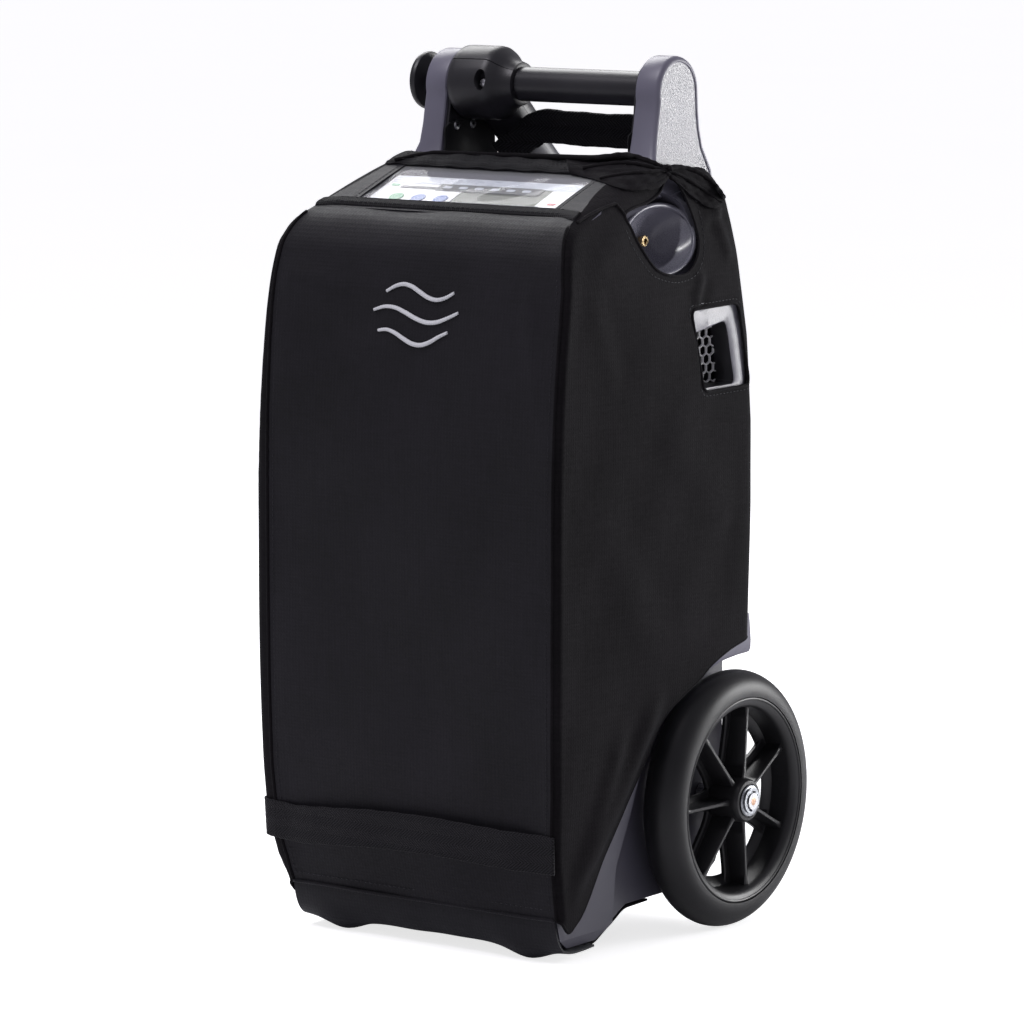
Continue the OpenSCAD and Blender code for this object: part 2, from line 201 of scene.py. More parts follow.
M = {}
M["front"] = fabric_mat("cover_nylon_front", (0.0042, 0.0038, 0.0052), (0.0112, 0.0098, 0.0138), True, 0.6, 0.12)
# same nylon as the front copy, with a darker base colour that takes down the rim light on the sides: painted shade
M["side"] = fabric_mat("cover_nylon_side", (0.003, 0.0026, 0.0032), (0.0098, 0.0084, 0.0102), False, 0.85, 0.03, 0.0011, 0.1)
M["flap"] = fabric_mat("flap_cloth", (0.009, 0.0088, 0.0112), (0.0155, 0.015, 0.0188), True, 0.55, 0.1)
M["trim"] = webbing_mat("trim_tape", "X", "Y", (0.004, 0.004, 0.0046), (0.014, 0.0136, 0.016), 0.0014)
M["web"] = webbing_mat("grab_webbing")
M["strap"] = webbing_mat("carry_webbing", "X", "Z", (0.002, 0.002, 0.0022), (0.024, 0.023, 0.027), 0.0024)
M["thread"] = fabric_mat("stitch_thread", (0.012, 0.012, 0.014), (0.04, 0.04, 0.045), True, 0.6, 0.2)
M["slate"] = plastic_mat("case_slate", (0.068, 0.066, 0.086), (0.084, 0.082, 0.105), 0.42, 1500, 0.3, 0.0001)
M["slate_matt"] = plastic_mat("case_slate_matt", (0.085, 0.083, 0.105), (0.1, 0.098, 0.124), 0.8, 1500, 0.2, 0.0001, 0.06)
M["slate_dark"] = plastic_mat("case_slate_dark", (0.04, 0.04, 0.048), (0.06, 0.06, 0.068), 0.5, 1500, 0.3, 0.0001)
M["arm"] = plastic_mat("arm_slate", (0.145, 0.14, 0.185), (0.165, 0.16, 0.208), 0.4, 1300, 0.3, 0.0001)
M["arm_face"] = plastic_mat("arm_textured", (0.13, 0.127, 0.155), (0.17, 0.167, 0.198), 0.2, 900, 1.0, 0.0004, 0.8)
M["bowl"] = plastic_mat("bowl_slate", (0.15, 0.148, 0.182), (0.17, 0.168, 0.205), 0.3, 1500, 0.15, 0.00008)
M["black"] = plastic_mat("black_plastic", (0.014, 0.0135, 0.0165), (0.022, 0.0215, 0.0255), 0.34, 1300, 0.35, 0.00012)
M["hub"] = plastic_mat("hub_black", (0.013, 0.0125, 0.0155), (0.022, 0.0215, 0.0255), 0.4, 1500, 0.5, 0.00014)
M["rubber"] = plastic_mat("soft_rubber", (0.008, 0.008, 0.009), (0.013, 0.013, 0.015), 0.8, 1000, 0.4, 0.00015, 0.35)
M["tyre"] = plastic_mat("tyre_rubber", (0.008, 0.008, 0.009), (0.013, 0.013, 0.0145), 0.42, 900, 0.3, 0.00012, 0.4, 0.0, 40)
M["rim"] = plastic_mat("rim_nylon", (0.011, 0.011, 0.012), (0.018, 0.018, 0.0195), 0.38, 1100, 0.4, 0.00014, 0.45)
M["zinc"] = metal_mat("zinc_plate", (0.3, 0.31, 0.33), (0.55, 0.57, 0.6), 0.3)
M["steel"] = metal_mat("steel_turned", (0.5, 0.5, 0.52), (0.72, 0.72, 0.74), 0.3, (10, 90, 90))
M["brass"] = metal_mat("brass_turned", (0.6, 0.42, 0.2), (0.86, 0.68, 0.42), 0.22, (300, 20, 20))
M["alu"] = plastic_mat("tube_coated", (0.05, 0.05, 0.06), (0.07, 0.07, 0.082), 0.4, 900, 0.2, 0.0001)
M["cast"] = metal_mat("cast_alloy", (0.45, 0.45, 0.47), (0.6, 0.6, 0.62), 0.5, (10, 10, 10), 0.5)
M["frame"] = plastic_mat("vent_bezel", (0.14, 0.137, 0.165), (0.18, 0.177, 0.205), 0.33, 1100, 0.9, 0.00026, 0.8)
M["mesh"] = plastic_mat("mesh_pale", (0.85, 0.85, 0.86), (0.95, 0.95, 0.95), 0.35, 900, 0.3, 0.0001)
M["panel"] = plastic_mat("overlay_pale", (0.86, 0.88, 0.9), (0.93, 0.94, 0.95), 0.28, 300, 0.1, 0.0001)
M["panel_blue"] = plastic_mat("overlay_pale_blue", (0.42, 0.47, 0.56), (0.6, 0.64, 0.72), 0.28, 60, 0.1, 0.0001, 0.5, 0.0, 9)
M["header"] = plastic_mat("overlay_dark", (0.012, 0.018, 0.022), (0.03, 0.04, 0.045), 0.45, 300, 0.1, 0.0001)
M["lcd"] = plastic_mat("display_glass", (0.085, 0.1, 0.06), (0.13, 0.15, 0.09), 0.4, 500, 0.05, 0.00005, 0.3, 0.0, 60)
M["green"] = plastic_mat("key_green", (0.03, 0.3, 0.1), (0.05, 0.42, 0.16), 0.4)
M["blue"] = plastic_mat("key_blue", (0.03, 0.1, 0.4), (0.05, 0.16, 0.55), 0.4)
M["red"] = plastic_mat("mark_red", (0.5, 0.04, 0.03), (0.65, 0.07, 0.05), 0.4)
M["pcb"] = plastic_mat("board_green", (0.01, 0.12, 0.05), (0.02, 0.2, 0.08), 0.35, 300)
M["embroid"] = fabric_mat("embroidery_thread", (0.62, 0.63, 0.66), (0.86, 0.87, 0.89), True, 0.45, 0.2, 0.0006)
m, nt, b = new_mat("clear_vinyl")
v = coords(nt)
wv = noise(nt, v, 26, 2, 0.4)
nt.links.new(ramp(nt, wv, (0.04,) * 3, (0.09,) * 3), b.inputs["Roughness"])
nt.links.new(ramp(nt, wv, (0.86, 0.88, 0.92), (0.95, 0.96, 0.98)), b.inputs["Base Color"])
b.inputs["Alpha"].default_value = 0.12
b.inputs["Specular IOR Level"].default_value = 0.4
b.inputs["Coat Weight"].default_value = 0.0
b.inputs["Coat Roughness"].default_value = 0.05
bump(nt, b, wv, 0.5, 0.0025)
m.blend_method = "BLEND" if hasattr(m, "blend_method") else m.blend_method
M["vinyl"] = m
M["copper"] = metal_mat("axle_end_copper", (0.5, 0.3, 0.2), (0.7, 0.48, 0.36), 0.25)

SLOT = {"case_grey": "slate", "cover_fabric": "side", "webbing": "web", "vinyl": "vinyl", "panel_dark": "panel",
        "lcd_glass": "lcd", "button_green": "green", "button_blue": "blue", "pcb": "pcb", "black_plastic": "black",
        "rubber_black": "rubber", "tyre_rubber": "tyre", "tube_grey": "alu", "zinc": "steel", "brass": "brass",
        "cast": "cast", "mesh_grey": "mesh"}
for sp in frame["record"]["subparts"]:
    o = nodes[sp["node"]]
    o.data.materials.clear()
    o.data.materials.append(M[SLOT[sp["material_slot"]]])

# ------------------------------------------------------------------ mesh helpers
def obj_from(name, V, F, mat, body="case", smooth=True, angle=None, ride=True, scale=MM):
    me = bpy.data.meshes.new(name)
    me.from_pydata([tuple(float(c) * scale for c in p) for p in V], [], [tuple(int(i) for i in f) for f in F])
    me.validate(verbose=False)
    me.update()
    o = bpy.data.objects.new(name, me)
    scene.collection.objects.link(o)
    if smooth:
        me.polygons.foreach_set("use_smooth", [True] * len(me.polygons))
        if angle:
            me.set_sharp_from_angle(angle=math.radians(angle))
    if mat:
        me.materials.append(mat)
    if ride:
        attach(o, body)
    return o

def recalc(o):
    bm = bmesh.new(); bm.from_mesh(o.data)
    bmesh.ops.remove_doubles(bm, verts=bm.verts, dist=1e-6)
    bmesh.ops.recalc_face_normals(bm, faces=bm.faces)
    bm.to_mesh(o.data); bm.free()

def lathe(name, prof, centre, mat, body="case", n=96, axis="x", angle=35, flip=1):
    # prof: (radius, offset along axis), closed outline or ends on the axis
    V, F = [], []
    for i in range(n):
        a = 2 * math.pi * i / n
        for r, h in prof:
            c, s = r * math.cos(a), r * math.sin(a)
            if axis == "x":
                V.append((centre[0] + flip * h, centre[1] + c, centre[2] + s))
            elif axis == "z":
                V.append((centre[0] + c, centre[1] + s, centre[2] + h))
    k = len(prof)
    closed = prof[0][0] > 1e-6
    for i in range(n):
        j = (i + 1) % n
        for t in range(k if closed else k - 1):
            u = (t + 1) % k
            F.append((i * k + t, j * k + t, j * k + u, i * k + u))
    o = obj_from(name, V, F, mat, body)
    recalc(o)
    if angle:
        o.data.set_sharp_from_angle(angle=math.radians(angle))
    return o

def join(name, objs):
    bpy.ops.object.select_all(action="DESELECT")
    for o in objs:
        o.select_set(True)
    bpy.context.view_layer.objects.active = objs[0]
    bpy.ops.object.join()
    objs[0].name = name
    return objs[0]

def bake(o):
    dg = bpy.context.evaluated_depsgraph_get()
    me = bpy.data.meshes.new_from_object(o.evaluated_get(dg))
    o.modifiers.clear()
    o.data = me
    return o

def cutter(name, loop, dirv, a, b):
    # prism of a 3-D loop swept from a to b along dirv
    n = len(loop)
    d = np.array(dirv)
    V = [np.array(p) + d * a for p in loop] + [np.array(p) + d * b for p in loop]
    F = [tuple(range(n))[::-1], tuple(range(n, 2 * n))] + [(i, (i + 1) % n, n + (i + 1) % n, n + i) for i in range(n)]
    o = obj_from(name, V, F, None, smooth=False, ride=False)
    recalc(o)
    return o

def cut(o, cutters):
    for c in cutters:
        md = o.modifiers.new("cut", "BOOLEAN")
        md.operation = "DIFFERENCE"; md.object = c; md.solver = "EXACT"
    bpy.context.view_layer.update()
    bake(o)
    return o

def drop(objs):
    for c in objs:
        bpy.data.objects.remove(c, do_unlink=True)

def catmull(pts, per=6, closed=False):
    P = [np.array(p, float) for p in pts]
    n = len(P)
    out = []
    rng = range(n if closed else n - 1)
    for i in rng:
        if closed:
            p0, p1, p2, p3 = P[(i - 1) % n], P[i], P[(i + 1) % n], P[(i + 2) % n]
        else:
            p0, p1, p2, p3 = P[max(i - 1, 0)], P[i], P[i + 1], P[min(i + 2, n - 1)]
        for k in range(per):
            t = k / per
            out.append(0.5 * ((2 * p1) + (p2 - p0) * t + (2 * p0 - 5 * p1 + 4 * p2 - p3) * t * t + (3 * p1 - p0 - 3 * p2 + p3) * t ** 3))
    if not closed:
        out.append(P[-1])
    return np.array(out)

def tube(name, pts, r, mat, body="case", sides=8, closed=False, ride=True):
    P = np.array(pts, float)
    n = len(P)
    V, F = [], []
    prev = None
    for i in range(n):
        a, c = P[(i - 1) % n if closed else max(i - 1, 0)], P[(i + 1) % n if closed else min(i + 1, n - 1)]
        t = (c - a) / (np.linalg.norm(c - a) + 1e-9)
        ref = prev if prev is not None else (np.array([0, 0, 1.0]) if abs(t[2]) < 0.9 else np.array([1.0, 0, 0]))
        u = ref - t * (ref @ t); u /= np.linalg.norm(u) + 1e-9
        w = np.cross(t, u); prev = u
        rr = r[i] if hasattr(r, "__len__") else r
        for k in range(sides):
            an = 2 * math.pi * k / sides
            V.append(P[i] + rr * (math.cos(an) * u + math.sin(an) * w))
    for i in range(n if closed else n - 1):
        j = (i + 1) % n
        for k in range(sides):
            l = (k + 1) % sides
            F.append((i * sides + k, i * sides + l, j * sides + l, j * sides + k))
    if not closed:
        F.append(tuple(range(sides))[::-1]); F.append(tuple((n - 1) * sides + k for k in range(sides)))
    return obj_from(name, V, F, mat, body, ride=ride)

def grid_solid(name, P, thick, mat, body="case", out_sign=1.0, ride=True):
    # P: (n, m, 3) outer surface; a closed shell with an inner skin thick mm inwards
    n, m_, _ = P.shape
    du = np.gradient(P, axis=0); dv = np.gradient(P, axis=1)
    nn = np.cross(du, dv); nn /= np.linalg.norm(nn, axis=2, keepdims=True) + 1e-9
    Q = P - out_sign * thick * nn
    V = np.concatenate([P.reshape(-1, 3), Q.reshape(-1, 3)])
    o_ = n * m_
    F = []
    for i in range(n - 1):
        for j in range(m_ - 1):
            a, b_, c, d = i * m_ + j, i * m_ + j + 1, (i + 1) * m_ + j + 1, (i + 1) * m_ + j
            F.append((a, b_, c, d)); F.append((o_ + d, o_ + c, o_ + b_, o_ + a))
    edge = [(0, j) for j in range(m_)] + [(i, m_ - 1) for i in range(1, n)] + [(n - 1, j) for j in range(m_ - 2, -1, -1)] + [(i, 0) for i in range(n - 2, 0, -1)]
    idx = [i * m_ + j for i, j in edge]
    for k in range(len(idx)):
        a, b_ = idx[k], idx[(k + 1) % len(idx)]
        F.append((a, o_ + a, o_ + b_, b_))
    o = obj_from(name, V, F, mat, body, ride=ride)
    recalc(o)
    o.data.set_sharp_from_angle(angle=math.radians(50))
    return o

# ------------------------------------------------------------------ cover surface
PR = [(-106.8, 28), (-112, 50), (-116.6, 76), (-119.2, 130), (-120.2, 200), (-120.2, 290), (-118, 340), (-114.2, 378),
      (-109, 402), (-103.5, 412.5), (-96, 420), (-87, 424.8), (-73.5, 430), (-50, 438.8), (-26.5, 447), (-12, 450.8),
      (-1.5, 452.2), (20, 452.8), (42, 452.4), (52, 449), (59, 441), (64, 428), (67.3, 405), (69.5, 380), (72, 330), (73.3, 270),
      (73.6, 215), (73.6, 171)]
prof = catmull(PR, 10)
seg = np.r_[0, np.cumsum(np.linalg.norm(np.diff(prof, axis=0), axis=1))]
def prof_at(s):
    return np.stack([np.interp(s, seg, prof[:, 0]), np.interp(s, seg, prof[:, 1])], -1)
def s_of(y, z):
    return seg[np.argmin((prof[:, 0] - y) ** 2 + (prof[:, 1] - z) ** 2)]
s_roll, s_deck0, s_win0, s_win1, s_top = s_of(-109, 402), s_of(-87, 424.8), s_of(-73.5, 430), s_of(-26.5, 447), s_of(-6, 451.8)
s_rear = s_of(59, 441)
def sm(t):
    t = np.clip(t, 0, 1); return t * t * (3 - 2 * t)
ZB = [20, 28, 60, 80, 130, 172, 250, 300, 350, 400, 428, 440, 450, 460]
WB = [97, 98.2, 101.5, 104.5, 109.5, 112.6, 114.2, 114.4, 112.4, 106.8, 101.8, 98, 93.5, 92]
# half width at the front seam, right and left, and the outermost half width of the looser left side
ZR = [20, 28, 53, 100, 158, 215, 272, 328, 370, 388, 406, 416, 424, 432, 440, 452]
SR = [96.4, 97.2, 99.2, 102.3, 103.4, 103.8, 104.0, 104.8, 105.6, 105.2, 101.8, 97.2, 93.0, 89.5, 85.0, 80.5]
SL = [93.0, 94.0, 98.0, 101.0, 101.4, 101.4, 101.3, 101.2, 101.0, 100.4, 98.6, 95.6, 92.4, 89.5, 85.0, 80.5]
ZL = [20, 28, 45, 75, 130, 200, 265, 312, 345, 371, 402, 414, 424, 440, 452]
BL = [96, 99, 108.5, 113, 114.4, 115, 114.4, 111.6, 109.4, 107.2, 104.8, 101.5, 98, 98, 93.5]
def rad(s, z, side):
    k = sm((s - s_of(-96, 420)) / 60.0)
    front = 4.0 if side > 0 else np.maximum(np.interp(z, ZL, BL) - np.interp(z, ZR, SL), 4.0)
    front = front + (7.5 - front) * sm((s - s_of(60, 441)) / 40.0)
    return front * (1 - k) + 13.0 * k
def W(y, z, side=1):
    y = np.asarray(y, float); z = np.asarray(z, float)
    sh = y.shape
    yy, zz = y.ravel(), z.ravel()
    d2 = (yy[:, None] - prof[None, :, 0]) ** 2 + (zz[:, None] - prof[None, :, 1]) ** 2
    k = np.argmin(d2, 1)
    d = np.sqrt(d2[np.arange(len(k)), k])
    # sub-sample distance to neighbouring segments
    for off in (-1, 0):
        k0 = np.clip(k + off, 0, len(prof) - 2)
        a, b_ = prof[k0], prof[k0 + 1]
        ab = b_ - a
        t = np.clip(((yy - a[:, 0]) * ab[:, 0] + (zz - a[:, 1]) * ab[:, 1]) / (ab ** 2).sum(1), 0, 1)
        q = a + ab * t[:, None]
        d = np.minimum(d, np.hypot(yy - q[:, 0], zz - q[:, 1]))
    r = rad(seg[k], prof[k, 1], side)
    yf = np.interp(zz, [28, 76, 130, 200, 290, 340, 402, 424, 452], [-106.8, -116.6, -119.2, -120.2, -120.2, -118, -109, -88, -20])
    kf = np.clip(np.interp(zz, [20, 402, 424, 440, 452], [0, 0, 0.08, 0.75, 1.0]), 0, 1)
    r_f = (4.0 * (1 - kf) + 13 * kf) if side > 0 else (np.maximum(np.interp(zz, ZL, BL) - np.interp(zz, ZR, SL), 4.0) * (1 - kf) + 13 * kf)
    bf = np.interp(zz, ZR, SR if side > 0 else SL) + r_f
    bm_ = np.interp(zz, ZB, WB)
    bm_ = np.maximum(bm_, bf - 3.0)
    base = bf + (bm_ - bf) * sm((yy - yf) / 140.0)
    c = np.where(d < r, r - np.sqrt(np.maximum(r * r - (r - d) ** 2, 0)), 0.0)
    x = base - c
    # soft folds
    def ridge(y0, z0, y1, z1, amp, wid, tail=0.15):
        ab = np.array([y1 - y0, z1 - z0], float); L = np.linalg.norm(ab); u = ab / L
        t = ((yy - y0) * u[0] + (zz - z0) * u[1]) / L
        q = -(yy - y0) * u[1] + (zz - z0) * u[0]
        env = sm((t + tail) / 0.3) * sm((1 + tail - t) / 0.3)
        return amp * env * (np.exp(-(q / wid) ** 2) - 0.55 * np.exp(-((q - 1.9 * wid) / wid) ** 2))
    f = np.zeros_like(x)
    if side > 0:
        f += ridge(-26, 142, -84, 56, 3.6, 7.5)
        f += ridge(-58, 128, -97, 44, 2.2, 7)
        f += ridge(-84, 400, -40, 424, 0.9, 7)
        f += ridge(-92, 385, -70, 330, 0.6, 8)
        f += ridge(22, 388, 12, 372, 1.6, 4)
        f += ridge(40, 432, 50, 395, 1.5, 5)
        f += ridge(58, 430, 30, 420, 1.4, 4)
        f += ridge(-20, 300, 40, 240, 0.9, 16)
        f += ridge(-80, 250, -30, 170, 0.9, 14)
        f += ridge(62, 300, 50, 200, 0.8, 10)
    else:
        f += ridge(-34, 128, -78, 62, 2.4, 7)
        f += ridge(-84, 400, -30, 420, 1.8, 7)
        f += ridge(-90, 300, -30, 250, 1.0, 15)
        f += ridge(50, 430, 20, 380, 1.5, 8)
    f += 0.5 * np.sin(yy / 23.0 + zz / 61.0 + 0.7 * side) * np.sin(zz / 37.0 + 1.3) + 0.22 * np.sin(yy / 9.0 - zz / 17.0 + side)
    x = x + f * sm((d - 1.0) / 14.0)
    return x.reshape(sh)
def Xs(s, side=1):
    p = prof_at(s)
    return W(p[..., 0], p[..., 1], side)

# front panel and deck band: strip in (x, s)
def strip(name, s0, s1, ns, nx, thick, mat, lift=0.0, xlim=None, frontwave=True):
    S = np.linspace(s0, s1, ns)
    p = prof_at(S)
    tan = np.gradient(p, axis=0); tan /= np.linalg.norm(tan, axis=1, keepdims=True)
    nrm = np.stack([-tan[:, 1], tan[:, 0]], 1)      # outward in (y, z): front face looks to -y
    xr = Xs(S, 1); xl = Xs(S, -1)
    U = np.linspace(0, 1, nx)
    P = np.zeros((ns, nx, 3))
    for i in range(ns):
        a, b_ = (-xl[i], xr[i]) if xlim is None else (max(xlim[0], -xl[i]), min(xlim[1], xr[i]))
        x = a + (b_ - a) * U
        e = np.minimum((x + xl[i]), (xr[i] - x))
        h = lift * np.ones(nx)
        if frontwave:
            z = p[i, 1]
            w = (0.9 * np.sin(x / 31.0 + z / 70.0) * np.sin(z / 52.0 + 0.6) + 0.45 * np.sin(x / 12.0 - z / 33.0 + 1.0)
                 + 1.5 * np.exp(-((z - 372 + 0.16 * x) / 9.0) ** 2) * np.exp(-((x + 78) / 34.0) ** 2)
                 - 1.2 * np.exp(-((z - 345 + 0.2 * x) / 10.0) ** 2) * np.exp(-((x + 66) / 40.0) ** 2)
                 + 1.3 * np.exp(-((x - 84 + 0.10 * (z - 380)) / 6.0) ** 2) * np.exp(-((z - 372) / 34.0) ** 2)
                 + 0.9 * np.exp(-((z - 300 - 0.3 * x) / 16.0) ** 2) * np.exp(-((x + 40) / 60.0) ** 2)
                 - 1.0 * np.exp(-((z - 150 + 0.2 * x) / 40.0) ** 2) * np.exp(-((x - 10) / 60.0) ** 2))
            h = h + w * sm(e / 12.0) * 0.8
        P[i, :, 0] = x
        P[i, :, 1] = p[i, 0] + nrm[i, 0] * h
        P[i, :, 2] = p[i, 1] + nrm[i, 1] * h
    return grid_solid(name, P, thick, mat, out_sign=-1.0)

front = strip("front_panel", 0, s_deck0 + 4, 190, 96, 1.4, M["front"])
deck_p = strip("deck_panel", s_deck0 + 2.5, s_top, 60, 80, 1.3, M["front"], frontwave=False)
rear_p = strip("rear_panel", s_rear, seg[-1], 70, 60, 1.4, M["side"])

# side panels: transfinite patch in (y, z)
LOW = [(73.6, 171), (60, 168.8), (43.8, 165), (28, 159), (16.7, 152), (0, 143.8), (-14.6, 133.5), (-29.2, 110), (-44.8, 89),
       (-64.6, 60), (-83.4, 33), (-93, 24), (-99.7, 20.5), (-106.8, 28)]
def side_panel(name, side, nu=150, nv=110):
    low = catmull(LOW[::-1], 8)
    def resample(P, n):
        L = np.r_[0, np.cumsum(np.linalg.norm(np.diff(P, axis=0), axis=1))]
        t = np.linspace(0, L[-1], n)
        return np.stack([np.interp(t, L, P[:, 0]), np.interp(t, L, P[:, 1])], 1)
    kA = np.argmin(np.abs(seg - s_of(-106, 408)))
    kB = np.argmin(np.abs(seg - s_of(59, 441)))
    left = resample(prof[:kA + 1], nv)          # front seam, bottom to top
    top = resample(prof[kA:kB + 1], nu)         # front to rear
    rgt = resample(prof[kB:][::-1], nv)         # bottom to top
    bot = resample(low, nu)
    u = np.linspace(0, 1, nu)[:, None, None]; v = np.linspace(0, 1, nv)[None, :, None]
    u = u[:, :, :]; 
    C = ((1 - v) * bot[:, None, :] + v * top[:, None, :] + (1 - u) * left[None, :, :] + u * rgt[None, :, :]
         - ((1 - u) * (1 - v) * left[0] + u * (1 - v) * rgt[0] + (1 - u) * v * left[-1] + u * v * rgt[-1]))
    Y, Z = C[..., 0], C[..., 1]
    X = W(Y, Z, side)
    P = np.stack([side * X, Y, Z], -1)
    return grid_solid(name, P, 1.4, M["side"], out_sign=float(side))

right_p = side_panel("side_panel_right", 1)
left_p = side_panel("side_panel_left", -1)

CD = (-0.58262, 0.80082, -0.13871)
TEAR = [(76.0, 32.5, 448.8), (84.0, 34.2, 438.6), (93.2, 31.6, 424.1), (101.4, 26.9, 409.7), (104.4, 23.2, 403.2), (106.9, 16.8, 395.6),
        (106.8, 7.7, 390.0), (104.7, 0.7, 388.6), (100.5, -5.5, 390.6), (96.5, -8.8, 394.1), (90.4, -10.1, 401.9), (84.0, -11.0, 410.3),
        (78.3, -9.8, 419.2), (74.0, -10.6, 425.0), (71.0, -8.0, 430.8), (70.7, 6.0, 439.7), (74.2, 22.7, 446.6)]
tear = catmull(TEAR, 5, closed=True)
def vent_loop():
    P = [(7.5, 368.7), (56.3, 369.4), (64.3, 320.5), (16.1, 320.3)]
    out = []
    for i in range(4):
        p, a, c = np.array(P[i]), np.array(P[i - 1]), np.array(P[(i + 1) % 4])
        u = (a - p) / np.linalg.norm(a - p); w = (c - p) / np.linalg.norm(c - p)
        for t in np.linspace(0, 1, 7):
            q0, q1 = p + u * 6 * (1 - t), p + w * 6 * t
            out.append(q0 * (1 - t) + q1 * t)
    return np.array(out)
vl = vent_loop()
from mathutils.bvhtree import BVHTree
def tree_of(o):
    me = o.data
    return BVHTree.FromPolygons([o.matrix_world @ v.co for v in me.vertices], [tuple(p.vertices) for p in me.polygons])
EYE = Vector((1.78062874, -2.46420094, 0.66892363))
def ray_dir(u, v):
    return (fwd + right * ((u - 512) / 5200) - up * ((v - 512) / 5200)).normalized()
def on_surface(u, v, trees, off=0.0):
    d = ray_dir(u, v); best = None
    for t in trees:
        h = t.ray_cast(EYE, d)
        if h[0] is not None and (best is None or h[3] < best): best = h[3]
    return None if best is None else (EYE + d * (best - off * MM)) * 1000
T_cov = [tree_of(o) for o in (front, deck_p, right_p)]
OUT = [(625, 215), (634.8, 207.5), (647, 203), (658, 194.5), (663.5, 184.5), (667.5, 173), (671, 174), (679.6, 186), (686.6, 200), (692, 214), (696.4, 228), (699, 242),
       (697.8, 256), (692, 268.7), (683.8, 275), (671, 275.7), (657, 270), (646, 256), (637.6, 242), (631, 228)]
out_px = catmull(OUT, 5, closed=True)
def ray_cutter(px, near, far):
    hits = [on_surface(u, v, T_cov) for u, v in px]
    mid = np.mean([np.linalg.norm(np.array(h) - np.array(EYE) * 1000) for h in hits if h is not None])
    A = [np.array(EYE) * 1000 + np.array(ray_dir(u, v)) * (mid + near) for u, v in px]
    B_ = [np.array(EYE) * 1000 + np.array(ray_dir(u, v)) * (mid + far) for u, v in px]
    n = len(px); V = A + B_
    F = [tuple(range(n))[::-1], tuple(range(n, 2 * n))] + [(i, (i + 1) % n, n + (i + 1) % n, n + i) for i in range(n)]
    o = obj_from("rc", V, F, None, smooth=False, ride=False); recalc(o); return o
c1 = ray_cutter(out_px, -75, 48)
hem_pts = [on_surface(u, v, T_cov, 0.35) for u, v in out_px]
flap_px = catmull([(577, 223), (590, 214.5), (603, 208), (614.5, 204.2), (619, 207.5), (625, 215)], 8)
flap_pts = [on_surface(u, v, T_cov, 0.6) for u, v in flap_px]
c2 = cutter("c2", [(100, y, z) for y, z in vl], (1, 0, 0), -12, 25)
def arm_cut(s):
    return cutter("ca", [(s * 60, -4.5, 440), (s * 90.5, -4.5, 440), (s * 90.5, 62, 440), (s * 60, 62, 440)], (0, 0, 1), -14, 30)
c3, c4 = arm_cut(1), arm_cut(-1)
cut(right_p, [c1, c2, c3]); cut(left_p, [c4]); cut(deck_p, [c1, c3, c4])
S0 = prof_at(np.array([s_win0 - 1.0, s_win1 + 1.0]))
WL = [(-70, S0[0][0], S0[0][1]), (70, S0[0][0], S0[0][1]), (70, S0[1][0], S0[1][1]), (-70, S0[1][0], S0[1][1])]
c5 = cutter("c5", WL, (0, -0.36, 0.93), -8, 10)
cut(deck_p, [c5])
drop([c1, c2, c3, c4, c5])
for o in (front, deck_p, rear_p, right_p, left_p):
    for p in o.data.polygons: p.use_smooth = True
    o.data.set_sharp_from_angle(angle=math.radians(50))
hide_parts("cover_front"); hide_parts("cover_top"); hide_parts("cover_rear")
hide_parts("cover_right"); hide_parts("cover_left")

def area_of(o):
    return sum(p.area for p in o.data.polygons) / 2
def decl(o, w, l):
    a = area_of(o)
    k = a / (w * l)
    if k < 0.32: w, l = math.sqrt(a / 0.8 * w / l), math.sqrt(a / 0.8 * l / w)
    if k > 1.0: w, l = w * math.sqrt(k) * 1.01, l * math.sqrt(k) * 1.01
decl(front, 0.204, 0.44); decl(deck_p, 0.19, 0.09)
decl(rear_p, 0.2, 0.29); decl(right_p, 0.2, 0.42)
decl(left_p, 0.2, 0.42)

# seams: piping, stitches
def surf_side(yz, side=1, off=0.0):
    yz = np.array(yz, float)
    X = W(yz[:, 0], yz[:, 1], side) + off
    return np.stack([side * X, yz[:, 0], yz[:, 1]], 1)
def strip_pt(x, s, off):
    p = prof_at(np.atleast_1d(s)); e = prof_at(np.atleast_1d(s) + 0.5)
    t = e - p; t /= np.linalg.norm(t, axis=1, keepdims=True) + 1e-9
    n = np.stack([-t[:, 1], t[:, 0]], 1)
    return np.stack([np.broadcast_to(x, p[:, 0].shape), p[:, 0] + n[:, 0] * off, p[:, 1] + n[:, 1] * off], 1)
pip = []
for side in (1, -1):
    S = np.linspace(0, s_of(-92, 422.5), 170)
    p = prof_at(S); x = Xs(S, side)
    pip.append(tube("pipe", np.stack([side * (x - 0.5), p[:, 0] + 0.1, p[:, 1]], 1), 1.15, M["side"]))
    S = np.linspace(s_rear, seg[-1], 100)
    p = prof_at(S); x = Xs(S, side)
    pip.append(tube("pipe", np.stack([side * (x), p[:, 0], p[:, 1]], 1), 1.1, M["side"]))
    lw = catmull(LOW, 10)
    pip.append(tube("pipe", surf_side(lw, side, -0.7), 0.95, M["side"]))
piping = join("seam_piping", pip)

